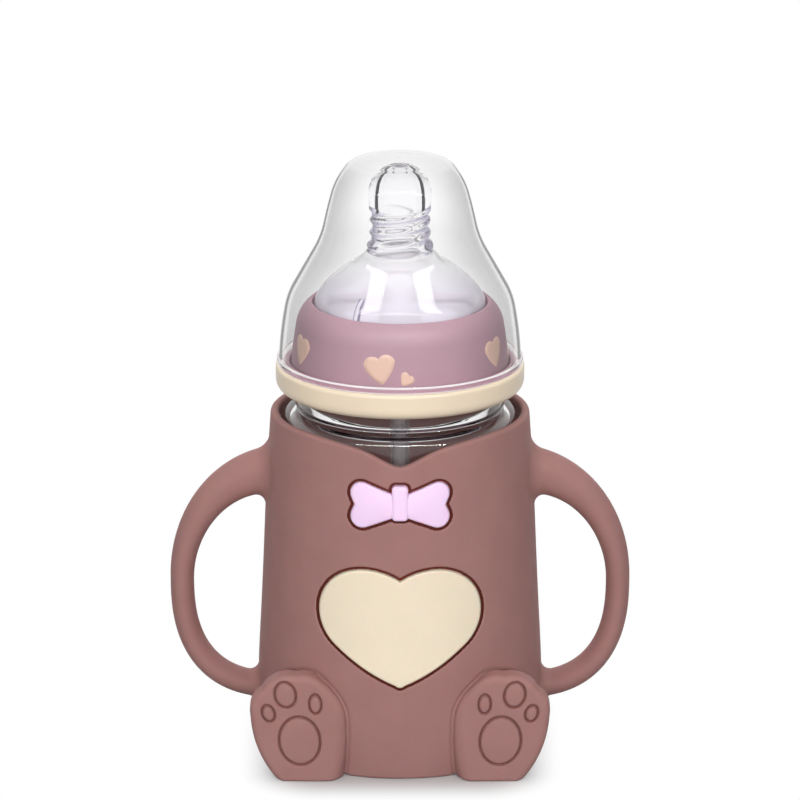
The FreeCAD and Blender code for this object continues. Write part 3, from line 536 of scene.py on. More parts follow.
MATERIALS = {
    "sleeve": soft_silicone("sleeve_silicone", "#A47A76", 0.5, 0.62, 0.035, 0.6),
    # The recess and pad groove colours are the sleeve's silicone made darker: painted shade in the grooves
    "recess": soft_silicone("recess_painted_shade", "#6E372E", 0.5, 0.62, 0.035, 0.5),
    "pad_groove_shade": soft_silicone("pad_groove_painted_shade", "#8C5E57", 0.5, 0.62, 0.035, 0.5),
    "heart": soft_silicone("cream_silicone", "#F1E3CB", 0.48, 0.6, 0.012, 0.4),
    "bow": soft_silicone("pink_silicone", "#FCDCFD", 0.34, 0.44, 0.012, 0.4),
    "collar": moulded_plastic("collar_plastic", "#B4919D", 0.48, 0.58),
    "print": moulded_plastic("print_ink", "#E3BFAE", 0.4, 0.5),
    "ring": moulded_plastic("ring_plastic", "#EEDCC2", 0.28, 0.36),
    "glass": clear_material("bottle_glass", 1.38, 0.0, 0.01),
    # The cap's ramp is painted shade: grey bands and a dark outline where its wall is seen edge-on, lightened
    # on the crown
    "cap": clear_material("cap_plastic", 1.15, 0.0, 0.01, [
        (0.12, "#FFFFFF"), (0.22, "#EFEFEF"), (0.3, "#E1E1E1"), (0.44, "#CECECE"), (0.6, "#BEBEBE"),
        (0.67, "#C8C8C8"), (0.71, "#FAFAFA"), (0.75, "#FAFAFA"), (0.8, "#1E1E1E")],
        crown=(0.5, 0.85, "#F0F0F0")),
    "cap_inside": clear_material("cap_plastic_inside", 1.15, 0.0, 0.01),
    # The bead's edges are hazy white, painted highlight lines
    "cap_bead": clear_material("cap_bead_painted_highlight", 1.15, 0.02, 0.06, None, 0.3),
    "nipple_skirt": graded(clear_material("nipple_silicone_skirt", 1.41, 0.05, 0.1),
                           (120.5, "#F6F1FC", 0.52), (127.5, "#FDFCFE", 0.52)),
    "nipple_clear": clear_material("nipple_silicone_clear", 1.41, 0.02, 0.06, None, 0.97, "#F8F7FA"),
    # The neck's ramp is painted violet shade where its skin is seen edge-on
    "nipple_neck": clear_material("nipple_silicone_neck", 1.41, 0.02, 0.06, [
        (0.22, "#FFFFFF"), (0.45, "#C0BAD3"), (0.8, "#787296")], 0.95),
    # The bulb's inside above the neck gets a painted dark arch
    "nipple_arch": paint_dark_edge(clear_material("nipple_arch_painted_shade", 1.41, 0.02, 0.06), 0.48, 0.53),
    # The rib's colour is painted shade along its two flanks
    "nipple_rib": clear_material("nipple_rib_edge_shade", 1.41, 0.05, 0.1, None, 0.4, "#9A95B0"),
    "straw": clear_material("straw_silicone", 1.41, 0.08, 0.16, None, 0.9, "#F3F2F5"),
    "adapter": clear_material("adapter_plastic", 1.49, 0.3, 0.42, None, 0.25, "#F2EEF8"),
    "frosted": clear_material("frosted_plastic", 1.49, 0.3, 0.42, None, 0.6, "#F4F3F6"),
    "steel": brushed_steel("steel"),
}


# Silicone sleeve

SLEEVE_RIM_Z = 88.4
SLEEVE_RIM_EDGE = 0.95
SLEEVE_BASE_EDGE = 0.8
SLEEVE_FLOOR = 3.2
SLEEVE_BORE_R = 30.95
SLEEVE_FOOT_EDGE = 6.0
# Radius of the sleeve's outside by height
SLEEVE_SIDE = smooth_curve([
    (0, 35.3), (3, 35.8), (18, 36.7), (32, 36.1), (48, 35.3), (66, 34.5), (80, 33.7), (90, 33.0)])
# How far the front of the rim dips, by distance from the middle
NOTCH = smooth_curve([
    (0, 5.9), (2.6, 5.2), (6, 3.5), (9, 2.2), (13, 1.2), (17, 0.6), (21, 0.2), (25, 0)], level_ends=True)
NOTCH_FROM_Y, NOTCH_TO_Y = -12.0, -18.0

HANDLE_ROOT_X, HANDLE_REACH = 31.6, 24.7
HANDLE_MID_Z, HANDLE_HALF_HEIGHT = 42.6, 29.2
# By part of the handle: 1 is its upper end, 0 its middle and -1 its lower end
HANDLE_SQUARENESS = {1: 2.0, -1: 2.5}
HANDLE_THICK = {1: 12.8, 0: 6.1, -1: 6.2}
HANDLE_DEPTH = {1: 13.0, 0: 10.0, -1: 11.0}
HANDLE_SWELL = 1.5
HANDLE_SINK = 5.0
HANDLE_BLEND = 3.0

PAW_X, PAW_FRONT, PAW_LENGTH = 26.5, 37.1, 28.0
PAW_LEAN = math.tan(math.radians(4))
PAW_EDGE, PAW_BLEND, PAW_BASE_EDGE = 1.8, 0.3, 0.8
PAW_DROP, PAW_TOP_Z = 6.0, 30.0
PAW_SOLE = [(-4.5, -PAW_DROP), (10, -PAW_DROP), (10, 0, 48), (12.1, 14, 13), (5.2, 26.4, 11.6),
            (-5.4, 26.3, 9.6), (-11.5, 18.2, 27), (-4.5, 0)]
# The paw's inner wall flares back to the sleeve, its top falls away and its far end draws in. The flare and the
# fall come on over stretches: start, length
PAW_FLARE, PAW_FLARE_DEPTH = 0.5, 6.0
PAW_FLARE_ACROSS, PAW_FLARE_UP = (2, 6), (26, -9)
PAW_FALL, PAW_FALL_FROM, PAW_FALL_DEPTH = math.tan(math.radians(21)), 5.5, 16.0
PAW_FALL_UP = (10, 12)
PAW_TAPER, PAW_TAPER_FROM = 0.016, 9.0
# Pads of the left paw: across, up, half width, half height, lean in degrees
PAW_PADS = [(1.0, 10.7, 5.2, 6.3, 8), (-2.6, 22.75, 2.65, 3.3, 14), (-6.9, 17.9, 1.55, 2.15, 20),
            (5.0, 20.3, 1.55, 2.45, 4)]
PAD_SWELL, PAD_GROOVE, PAD_GROOVE_HALF = 0.4, 0.9, 0.32
# Groove where a paw meets the sleeve
PAW_CREASE, PAW_CREASE_HALF = 0.45, 0.6
# Toes that swell the crown's outline and dips between them: across, up, spread, swell
PAW_TOES = [(-11.0, 20.2, 2.4, 0.3), (-9.0, 23.9, 1.4, -0.4), (-4.6, 26.4, 2.8, 0.4), (0.2, 27.6, 1.3, -0.3),
            (4.2, 27.0, 3.4, 0.3)]

RECESS_DEPTH, RECESS_EDGE = 1.2, 0.6
INLAY_GAP, INLAY_PROUD, INLAY_EDGE = 0.72, 0.45, 0.6
HEART_TIP_Z, HEART_LOBE_X, HEART_LOBE_Z, HEART_LOBE_R = 25.0, 8.9, 44.0, 11.6
HEART_BROW_R, HEART_TIP_R = 15.6, 1.2
HEART_SIDE_DROP, HEART_SIDE_BEND = 9.2, 55.0
BOW_Z = 72.5
BOW_WING = [(0, -2.3), (14.9, -8.2, 2.9), (11.5, 0, 0.35), (14.9, 8.2, 2.9), (0, 2.3)]
BOW_KNOT_Z = 73.4
BOW_KNOT = [(-2.05, -4.45, 1.0), (2.05, -4.45, 1.0), (2.05, 4.45, 1.0), (-2.05, 4.45, 1.0)]
BOW_KNOT_PROUD, BOW_KNOT_EDGE = 1.4, 0.9
# Dome of each wing: rise, half height at the middle, how that grows outwards and where the dome ends
BOW_DOME, BOW_DOME_HALF, BOW_DOME_GROWTH, BOW_DOME_REACH = 0.75, 3.0, 0.28, 13.5
# Where the grooves get painted shade, a darker colour: depths below the surface, reach past the inlays' gap,
# relief of the pads
SHADED_GROOVE_SUNK, SHADED_GROOVE_REACH = (0.35, 2.0), 0.2
SHADED_PAD_GROOVE_SUNK, SHADED_PAD_GROOVE_RELIEF = (0.4, 1.5), -0.5


def handle_section(x, z):
    """Distance from the handle's middle line in its plane, and the half sizes of its oval there."""
    turns = np.linspace(1, -1, 241)
    ends = np.sign(turns + 1e-9).astype(int)
    power = np.array([2 / HANDLE_SQUARENESS[end] for end in ends])
    out = np.abs(np.cos(turns * math.pi / 2)) ** power
    rise = np.sign(turns) * np.abs(np.sin(turns * math.pi / 2)) ** power
    share = np.abs(turns) ** HANDLE_SWELL
    halves = [
        np.array([(sizes[0] + (sizes[end] - sizes[0]) * s) / 2 for end, s in zip(ends, share)])
        for sizes in (HANDLE_THICK, HANDLE_DEPTH)
    ]
    line = np.stack([HANDLE_ROOT_X + HANDLE_REACH * out, HANDLE_MID_Z + HANDLE_HALF_HEIGHT * rise], 1)
    line = np.concatenate([line[:1] - (HANDLE_SINK, 0), line, line[-1:] - (HANDLE_SINK, 0)])
    halves = [np.concatenate([half[:1], half, half[-1:]]) for half in halves]
    shape = np.broadcast(x, z).shape
    nearest = np.full(shape, np.inf)
    sizes = [np.zeros(shape), np.zeros(shape)]
    for k in range(len(line) - 1):
        edge = line[k + 1] - line[k]
        share = ((x - line[k, 0]) * edge[0] + (z - line[k, 1]) * edge[1]) / (edge @ edge)
        share = np.clip(share, 0, 1)
        away = np.hypot(x - line[k, 0] - share * edge[0], z - line[k, 1] - share * edge[1])
        closer = away < nearest
        nearest = np.where(closer, away, nearest)
        for i in range(2):
            here = halves[i][k] + (halves[i][k + 1] - halves[i][k]) * share
            sizes[i] = np.where(closer, here, sizes[i])
    return np.stack([nearest, *sizes], 2)


def paw_face(across, up):
    """Distance to the sole's outline, swollen at the toes, and the height of its pads and grooves."""
    edge = distance_to(trace(PAW_SOLE, 0.5), across, up)
    for at, level, spread, swell in PAW_TOES:
        edge = edge - swell * np.exp(-((across - at) ** 2 + (up - level) ** 2) / spread ** 2)
    height = np.zeros_like(edge)
    for at, level, half_width, half_height, lean in PAW_PADS:
        cos, sin = math.cos(math.radians(lean)), math.sin(math.radians(lean))
        u, v = across - at, up - level
        reach = np.hypot((u * cos + v * sin) / half_width, (v * cos - u * sin) / half_height)
        away = (reach - 1) * (half_width + half_height) / 2
        height += PAD_SWELL * np.clip(1 - reach ** 3, 0, 1)
        height -= PAD_GROOVE * np.exp(-(away / PAD_GROOVE_HALF) ** 2)
    return np.stack([edge, height], 2)


def heart_outline():
    """Heart of two lobes and two bowed sides."""
    side_x = HEART_LOBE_X + math.sqrt(HEART_LOBE_R ** 2 - HEART_SIDE_DROP ** 2)
    side_z = HEART_LOBE_Z - HEART_SIDE_DROP
    top = HEART_LOBE_Z + HEART_LOBE_R
    notch = top - HEART_BROW_R + math.sqrt(HEART_BROW_R ** 2 - HEART_LOBE_X ** 2)
    tip = HEART_TIP_Z + HEART_TIP_R / 2
    return [
        (HEART_TIP_R, tip, HEART_SIDE_BEND), (side_x, side_z, HEART_LOBE_R), (HEART_LOBE_X, top, HEART_BROW_R),
        (0, notch, HEART_BROW_R), (-HEART_LOBE_X, top, HEART_LOBE_R), (-side_x, side_z, HEART_SIDE_BEND),
        (-HEART_TIP_R, tip, HEART_TIP_R * 1.4)]


def bow_parts(across, up):
    """Distances to the bow's wings and to its knot."""
    wing = distance_to(trace(rounded(BOW_WING), 0.4), np.abs(across), up - BOW_Z)
    knot = distance_to(trace(rounded(BOW_KNOT), 0.4), across, up - BOW_KNOT_Z)
    return np.stack([wing, knot], 2)


HANDLE = Table((20, 5), (62, 82), 0.2, handle_section)
PAW = Table((-18, -4), (16, 36), 0.12, paw_face)
HEART = Table((-26, 18), (26, 60), 0.2, lambda x, z: distance_to(trace(heart_outline(), 0.5), x, z))
BOW = Table((-17, 62), (17, 84), 0.15, bow_parts)


def handle_field(x, y, z):
    away, thick, depth = HANDLE(np.abs(x), z)
    away = away + 1e-3
    reach = np.sqrt((away / thick) ** 2 + (y / depth) ** 2)
    steepness = np.sqrt((away / thick ** 2) ** 2 + (y / depth ** 2) ** 2)
    return reach * (reach - 1) / steepness


def paw_field(x, y, z):
    across = PAW_X - np.abs(x)
    behind = y + PAW_FRONT - z * PAW_LEAN
    fall = PAW_FALL * np.clip(behind - PAW_FALL_FROM, 0, PAW_FALL_DEPTH)
    edge, height = PAW(across, z + fall * eased(z, *PAW_FALL_UP))
    flare = PAW_FLARE * eased(across, *PAW_FLARE_ACROSS) * eased(z, *PAW_FLARE_UP)
    wall = (edge - flare * np.clip(behind, 0, PAW_FLARE_DEPTH)) / np.sqrt(1 + flare ** 2)
    wall = wall + PAW_TAPER * np.maximum(behind - PAW_TAPER_FROM, 0) ** 2
    sole = common(wall, -behind - height, PAW_EDGE)
    return common(np.maximum(sole, behind - PAW_LENGTH), -z, PAW_BASE_EDGE)


def inlay_outline(x, z):
    """Distance to the nearer outline of the heart and the bow."""
    return np.minimum(HEART(x, z), np.minimum(*BOW(x, z)))


def in_recess(form, x, y, z):
    """Part of a form that is in front and above the floor of the recess."""
    return np.maximum(np.maximum(form, SLEEVE_SIDE(z) - RECESS_DEPTH - np.sqrt(x * x + y * y)), y)


def sleeve_field(x, y, z):
    radius = np.sqrt(x * x + y * y)
    front = np.clip((y - NOTCH_FROM_Y) / (NOTCH_TO_Y - NOTCH_FROM_Y), 0, 1)
    rim = SLEEVE_RIM_Z - NOTCH(np.abs(x)) * front
    form = common(radius - SLEEVE_SIDE(z), z - rim, SLEEVE_RIM_EDGE)
    form = common(form, -z, SLEEVE_BASE_EDGE)
    form = joined(form, handle_field(x, y, z), HANDLE_BLEND)
    paw = paw_field(x, y, z)
    crease = PAW_CREASE * np.exp(-(form ** 2 + paw ** 2) / PAW_CREASE_HALF ** 2)
    form = joined(form, paw, PAW_BLEND) + crease
    cavity = common(radius - SLEEVE_BORE_R, SLEEVE_FLOOR - z, SLEEVE_FOOT_EDGE)
    form = common(form, -cavity, SLEEVE_RIM_EDGE)
    return common(form, -in_recess(inlay_outline(x, z) - INLAY_GAP, x, y, z), RECESS_EDGE)


def heart_field(x, y, z):
    above = np.sqrt(x * x + y * y) - SLEEVE_SIDE(z)
    return in_recess(common(HEART(x, z), above - INLAY_PROUD, INLAY_EDGE), x, y, z)


def bow_field(x, y, z):
    above = np.sqrt(x * x + y * y) - SLEEVE_SIDE(z)
    wing, knot = BOW(x, z)
    rise = (z - BOW_Z) / (BOW_DOME_HALF + BOW_DOME_GROWTH * np.abs(x))
    dome = BOW_DOME * np.clip(1 - rise ** 2, 0, 1) * np.clip(1 - (x / BOW_DOME_REACH) ** 4, 0, 1)
    form = common(wing, above - INLAY_PROUD / 2 - dome, INLAY_EDGE)
    form = np.minimum(form, common(knot, above - BOW_KNOT_PROUD, BOW_KNOT_EDGE))
    return in_recess(form, x, y, z)


def make_sleeve():
    axes = [
        grid_line((-60.5, -40, 0.7), (-40, -12, 0.25), (-12, 12, 0.4), (12, 40, 0.25), (40, 60.5, 0.7)),
        grid_line((-38.9, -32, 0.25), (-32, -8, 0.5), (-8, 8, 0.65), (8, 38.5, 0.9)),
        grid_line((-1.2, 30, 0.25), (30, 60, 0.4), (60, 89.6, 0.36)),
    ]
    points, quads, normals = skin(sleeve_field, axes)
    sleeve = piece("sleeve_moulding", points, quads, "sleeve", "sleeve",
                   ["silicone_sleeve"], normals)
    for key in ("recess", "pad_groove_shade"):
        sleeve.data.materials.append(MATERIALS[key])
    # Faces in the grooves round the inlays and between the paw pads take the darker colours, painted shade
    x, y, z = points[quads].mean(1).T
    sunk = SLEEVE_SIDE(z) - np.hypot(x, y)
    groove_shade_mask = (inlay_outline(x, z) < INLAY_GAP + SHADED_GROOVE_REACH) & (y < 0) & between(sunk, *SHADED_GROOVE_SUNK)
    sunk = y + PAW_FRONT - z * PAW_LEAN
    relief = PAW(PAW_X - np.abs(x), z)[1]
    pad_groove_shade = (relief < SHADED_PAD_GROOVE_RELIEF) & between(sunk, *SHADED_PAD_GROOVE_SUNK) & (z < PAW_TOP_Z)
    sleeve.data.polygons.foreach_set("material_index", np.where(pad_groove_shade, 2, groove_shade_mask).astype(np.int32))


def make_inlays():
    for name, node, field, key, slot, pitch, spans in (
            ("heart_inlay", "heart_patch", heart_field, "heart", "cream_silicone", 0.3,
             ((-23, 23), (-38, -26), (22, 57))),
            ("bow_inlay", "bow_tie", bow_field, "bow", "pink_silicone", 0.22,
             ((-14, 14), (-37.5, -29), (65, 81.5)))):
        points, quads, normals = skin(field, [grid_line((*span, pitch)) for span in spans])
        piece(name, points, quads, key, "sleeve", [node], normals)


# Glass bottle, collar, ring, cap and nipple

AROUND = 192
CAP_WALL, CAP_BEAD_R, CAP_BEAD_Z, CAP_BEAD_TOP, CAP_BEAD_HALF = 0.9, 30.8, 101.7, 102.75, 0.45
# The ring's ledge under the cap, which has the collar's colour
LEDGE_R, LEDGE_Z = 30.7, 100.6
THREAD_PITCH, THREAD_HALF, THREAD_FLANK, THREAD_FADE = 4.0, 0.75, 0.4, 1.2
NECK_BORE_R, COLLAR_FOOT_Z = 23.5, 97.0
GLASS_THREAD = {"low": 98.0, "high": 107.5, "rise": 1.0, "phase": 0.0}
COLLAR_THREAD = {"low": 97.5, "high": 108.5, "rise": -1.0, "phase": 0.5}
# Hearts on half of the collar: place round it in degrees, height, size, lean in degrees
PRINTED_HEARTS = [(-66, 107.2, 4.2, -4), (-10.8, 106.6, 4.2, 11), (3.5, 103.9, 1.95, -35),
                  (61, 107.2, 4.2, 5), (85, 104.0, 1.95, 8)]
PRINT_FILM, PRINT_SUNK = 0.05, 0.12


def faded(height, low, high, length):
    """Share that comes on and goes off over a length at the ends of a stretch of height."""
    return np.clip(np.minimum(height - low, high - height) / length, 0, 1)


def thread(height, angle, low, high, rise, phase):
    """Rise of a right-handed thread that fades in and out at its ends."""
    turn = (height - low) / THREAD_PITCH - angle / (2 * math.pi) - phase
    away = np.abs((turn + 0.5) % 1 - 0.5) * THREAD_PITCH
    ridge = np.clip((THREAD_HALF - away) / THREAD_FLANK + 0.5, 0, 1)
    return rise * ridge * faded(height, low, high, THREAD_FADE)


def make_glass():
    """Wide-neck bottle with a punted base, a bead below the neck and a thread on its finish."""
    profile = open_line([
        (0, 4.2), (17, 4.2, 2.0), (20, 3.2, 2.0), (30.7, 3.2, 6.0), (30.7, 89.1, 4.1), (26.0, 89.1, 0.3),
        (26.9, 90.4, 0.9), (26.7, 92.4, 1.0), (25.5, 93.9, 0.5), (24.6, 93.9, 0.4), (24.6, 111, 1.1),
        (21.5, 111, 1.1), (21.5, 91.0, 3.5), (24.5, 86.9, 2.0), (28.3, 86.7, 2.7), (28.3, 7.2, 5.0),
        (0, 7.2)], 0.6)

    def threaded(radius, height, angle, row):
        return radius + (radius > NECK_BORE_R) * thread(height, angle, **GLASS_THREAD), height

    points, faces = lathe(profile, AROUND, threaded)
    piece("bottle_glass_body", points, faces, "glass", "bottle", ["glass_bottle"])


def make_collar():
    """Screw collar: smooth tapered skirt, round crown and a thread inside."""
    side = trace(rounded([(28.6, 95.2, 0.3), (28.6, 96.6, 0.3), (28.1, 96.6)], closed=False)[1:]
                 + [(28.1, 96.7, 120), (26.5, 111.4, 8.7), (23.0, 117.0)], 0.4, closed=False)
    inside = open_line([
        (22.8, 117.0), (22.3, 116.9, 0.3), (22.3, 114.2, 0.3), (24.9, 114.2, 0.8), (26.6, 110.2, 1.0),
        (26.6, 95.2, 0.4), (28.4, 95.2)], 0.5)

    def threaded(radius, height, angle, row):
        return radius + (row >= len(side)) * thread(height, angle, **COLLAR_THREAD), height

    points, faces = lathe(np.concatenate([side, inside]), AROUND, threaded)
    piece("collar_body", points, faces, "collar", "collar", ["screw_collar"])
    make_print(side)


def make_print(side):
    """Plain hearts printed round the collar."""
    level = smooth_curve(side[side[:, 1] > COLLAR_FOOT_Z][:, ::-1][::6])
    heart = trace([(0, -1.0, 2.6), (0.97, 0.25, 0.55), (0, 0.55, 0.55), (-0.97, 0.25, 2.6)], 0.05)
    points, faces = [], []
    for turn in (0, 180):
        for place, up, size, lean in PRINTED_HEARTS:
            add_motif(points, faces, level, heart * size, math.radians(place + turn), up, math.radians(lean))
    piece("collar_print", np.array(points), faces, "print", "collar")


def add_motif(points, faces, level, outline, turn, up, lean):
    """One printed motif, a thin film that follows the collar and turns in at its edge."""
    rings = [(0.34, PRINT_FILM), (0.67, PRINT_FILM), (1.0, PRINT_FILM), (1.02, -PRINT_SUNK)]
    cos, sin = math.cos(lean), math.sin(lean)
    base, count = len(points), len(outline)
    places = [(*place * scale, proud) for scale, proud in rings for place in outline]
    for across, rise, proud in [(0.0, 0.0, PRINT_FILM), *places]:
        height = up + across * sin + rise * cos
        radius = float(level(height)) + proud
        angle = turn + (across * cos - rise * sin) / radius
        points.append((radius * math.sin(angle), -radius * math.cos(angle), height))
    faces += [(base, base + 1 + k, base + 1 + (k + 1) % count) for k in range(count)]
    rows = np.arange(len(rings) - 1)
    faces += (wall(rows + 1, rows, count) + base + 1).tolist()


def make_ring():
    """Cream ring with a full round foot and a ledge for the cap."""
    profile = trace(rounded([
        (28.65, 94.0, 0.3), (31.8, 94.0, 2.9), (31.8, 100.8, 0.9), (29.1, 100.8, 0.2), (29.1, 101.6, 0.2),
        (28.15, 101.6, 0.2), (28.15, 96.6, 0.1), (28.65, 96.6, 0.1)]), 0.35)
    points, faces = lathe(profile, AROUND)
    ring = piece("ring_body", points, faces, "ring", "collar", ["trim_ring"])
    ledge = (profile[:, 0] < LEDGE_R) & (profile[:, 1] > LEDGE_Z)
    line_rows(ring, "collar", np.flatnonzero(ledge), AROUND)


def make_cap():
    """Clear bell with a bead round its mouth, whose two edges are hazy white: painted highlight lines."""
    crown_bend, crown = 52.0, (11.0, 153.7)
    top = crown[1] + crown_bend - math.sqrt(crown_bend ** 2 - crown[0] ** 2)
    outer = trace([
        (30.9, 102.9, 88), (29.4, 115.6, 19.3), (27.2, 121.4), (22.2, 130.2, -25.6), (19.4, 137.6, 107),
        (17.4, 145.6, 18.9), (14.2, 151.6, 5.2), (*crown, crown_bend), (0, top)], 0.5, closed=False)
    inner = offset(outer, CAP_WALL)[::-1]
    inner[0, 0] = 0
    foot = open_line([
        inner[-1] - (0, 0.5), (29.9, 100.8, 0.3), (31.5, 100.8, 0.8), (31.5, 102.6, 0.7), (30.93, 102.8)], 0.3)
    profile = np.concatenate([inner, foot, outer])
    points, faces = lathe(profile, AROUND)
    bell = piece("cap_bell", points, faces, "cap", "cap", ["dust_cap"])
    line_rows(bell, "cap_inside", range(len(inner) + len(foot) - 1), AROUND)
    radius, height = profile[1:-1].T
    bead = (radius > CAP_BEAD_R) & (height < CAP_BEAD_TOP)
    # The bead's two edge rows take the hazy material, painted highlight lines
    edges = bead & (np.abs(height - CAP_BEAD_Z) > CAP_BEAD_HALF)
    line_rows(bell, "cap_bead", np.flatnonzero(edges), AROUND)


NIPPLE_OUTSIDE = [
    (21.8, 114.4), (21.75, 117.2), (20.6, 119.6), (18.4, 122.2), (15.6, 124.7), (12.8, 126.7), (10.4, 128.2),
    (8.7, 130.3), (7.7, 132.8), (7.3, 136.0), (7.4, 139.4), (7.9, 142.2), (8.1, 144.6), (7.7, 147.4),
    (6.5, 149.7), (4.6, 151.3), (3.2, 152.0)]
NIPPLE_TIP = [
    (3.2, 152.0), (2.5, 152.17, 0.5), (0.8, 151.45, 0.3), (0.45, 151.3, 0.08), (0.45, 150.9, 0.1),
    (1.2, 150.75)]
NIPPLE_INSIDE = [
    (1.2, 150.75), (2.4, 150.2), (3.5, 148.9), (4.2, 147.0), (4.45, 144.6), (4.4, 141.6), (4.1, 138.8),
    (4.0, 134.0), (4.6, 131.2), (7.2, 127.6), (11.0, 124.6), (15.0, 121.8), (18.0, 119.2), (19.3, 116.4),
    (19.8, 112.8)]
NIPPLE_FLANGE = [
    (19.9, 112.4), (20.0, 112.2, 0.1), (24.4, 112.2, 0.5), (24.4, 114.2, 0.5), (21.8, 114.2, 0.2),
    (21.8, 114.4)]
# Heights between which the neck is, and above which the bulb's inside gets a painted dark arch
NIPPLE_NECK, NIPPLE_ARCH_Z = (130.0, 142.0), 141.5
NIPPLE_AROUND = 288
VENT_AT, VENT_LOW, VENT_HIGH = math.radians(240), 114.6, 121.5
VENT_HALF, VENT_FLANK, VENT_FADE, VENT_RISE = 0.8, 0.5, 1.2, 0.55
# The spiral rises above the neck and sinks below it by a share of its rise
SPIRAL_LOW, SPIRAL_HIGH, SPIRAL_LEAD, SPIRAL_STARTS = 128.6, 142.0, 6.4, 2
SPIRAL_FADE, SPIRAL_RISE, SPIRAL_SINK = 1.6, 0.72, 0.35


def make_nipple():
    """Nipple with a two-start spiral round its neck, a vent rib and a dimpled milk hole."""
    outside = curve_through(NIPPLE_OUTSIDE, 0.3)
    tip = open_line(NIPPLE_TIP, 0.25)[1:-1]
    inside = curve_through(NIPPLE_INSIDE, 0.4)
    flange = open_line(NIPPLE_FLANGE, 0.3)[:-1]

    def spiral(radius, height, angle, row):
        outer = row < len(outside)
        turn = (height - SPIRAL_LOW) / SPIRAL_LEAD - angle / (2 * math.pi)
        ridge = (0.5 + 0.5 * np.cos(2 * math.pi * SPIRAL_STARTS * turn)) ** 1.5
        ridge = SPIRAL_RISE * (ridge - SPIRAL_SINK) * faded(height, SPIRAL_LOW, SPIRAL_HIGH, SPIRAL_FADE)
        rib = np.clip((VENT_HALF - np.abs(angle - VENT_AT) * radius) / VENT_FLANK + 0.5, 0, 1)
        rib = VENT_RISE * rib * faded(height, VENT_LOW, VENT_HIGH, VENT_FADE)
        return radius + outer * (ridge + rib), height

    profile = np.concatenate([outside, tip, inside, flange])
    points, faces = lathe(profile, NIPPLE_AROUND, spiral)
    body = piece("nipple_body", points, faces, "nipple_clear", "insert", ["nipple"])
    rows, height = np.arange(len(profile)), profile[:, 1]
    outer = rows < len(outside)
    neck, skirt = outer & between(height, *NIPPLE_NECK), outer & (height <= NIPPLE_NECK[0])
    # Rows of the bulb's inside that get the painted dark arch
    arch = (rows >= len(outside) + len(tip)) & (height > NIPPLE_ARCH_Z)
    for key, where in (("nipple_neck", neck), ("nipple_arch", arch), ("nipple_skirt", skirt)):
        line_rows(body, key, rows[where], NIPPLE_AROUND)
    # The rib's two flank columns take a darker grey-violet, painted shade lines
    body.data.materials.append(MATERIALS["nipple_rib"])
    for row in rows[outer & between(height, VENT_LOW, VENT_HIGH)]:
        for side in (-1, 1):
            turn = VENT_AT + side * VENT_HALF / profile[row, 0]
            column = int(turn / (2 * math.pi) * NIPPLE_AROUND)
            body.data.polygons[row * NIPPLE_AROUND + column].material_index = len(body.data.materials) - 1


# Straw, its adapter and its weighted foot

STRAW_R, STRAW_BORE_R, STRAW_AROUND = 2.5, 1.5, 40
STRAW_ROUTE = [(0, 0, 110), (0, 0, 70), (0, 0, 29)]


def route_line(route, name):
    """Points along the smooth spline of a route."""
    curve = bpy.data.curves.new(name, "CURVE")
    curve.dimensions = "3D"
    spline = curve.splines.new("NURBS")
    spline.points.add(len(route) - 1)
    for point, place in zip(spline.points, route):
        point.co = (*(c * MM for c in place), 1)
    spline.order_u = 3
    spline.use_endpoint_u = True
    spline.resolution_u = 40
    holder = bpy.data.objects.new(name, curve)
    mesh = bpy.data.meshes.new_from_object(holder)
    line = np.array([vertex.co for vertex in mesh.vertices]) / MM
    bpy.data.objects.remove(holder)
    bpy.data.curves.remove(curve)
    bpy.data.meshes.remove(mesh)
    return line


def make_straw():
    """Soft straw from the adapter's socket to the weight."""
    line = route_line(STRAW_ROUTE, "straw_route")
    angle = np.arange(STRAW_AROUND) * 2 * math.pi / STRAW_AROUND
    ring = np.stack([np.cos(angle), np.sin(angle), 0 * angle], 1)
    outer = [place + ring * STRAW_R for place in line]
    inner = [place + ring * STRAW_BORE_R for place in line[::-1]]
    points = np.concatenate(outer + inner)
    rows = np.arange(2 * len(line))
    faces = wall(rows, np.roll(rows, -1), STRAW_AROUND)[:, ::-1]
    tube = piece("straw_hose", points, faces, "straw", None, ["straw_tube"])
    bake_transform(tube)


def finish_solids():
    """Materials of the solids that show as they are."""
    for name, key in (("straw_adapter", "adapter"), ("weight_housing", "frosted"),
                      ("weight_end_cap", "frosted"), ("steel_weight", "steel")):
        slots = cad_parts[name].data.materials
        slots.clear()
        slots.append(MATERIALS[key])


# Studio

CAMERA_TARGET_Z, CAMERA_ELEVATION = 90.4, math.radians(16.5)
CAMERA_DISTANCE, CAMERA_LENS = 1423.6, 250.0
FILL = 0.23
FLOOR_HALF = 3000.0
# Greys of the floor as it lights the object and as it is seen, and its own light
FLOOR_LIT, FLOOR_SEEN, FLOOR_GLOW = (0.28, 0.28, 0.28, 1), (0.7, 0.7, 0.7, 1), 0.02
# The floor is grey under the object, a painted soft shadow besides the rendered one,
# and fades to plain white between these distances from a middle stretch under the object
FLOOR_STRETCH = (20.0, 30.0)
FLOOR_NEAR, FLOOR_FAR = 6.0, 22.0


def make_camera():
    camera = new_object("camera", bpy.data.cameras.new("camera"))
    camera.data.lens = CAMERA_LENS
    camera.data.sensor_width = 36
    camera.data.clip_end = 50
    back, rise = CAMERA_DISTANCE * math.cos(CAMERA_ELEVATION), CAMERA_DISTANCE * math.sin(CAMERA_ELEVATION)
    camera.location = (0, -back * MM, (CAMERA_TARGET_Z + rise) * MM)
    camera.rotation_euler = (math.pi / 2 - CAMERA_ELEVATION, 0, 0)
    bpy.context.scene.camera = camera


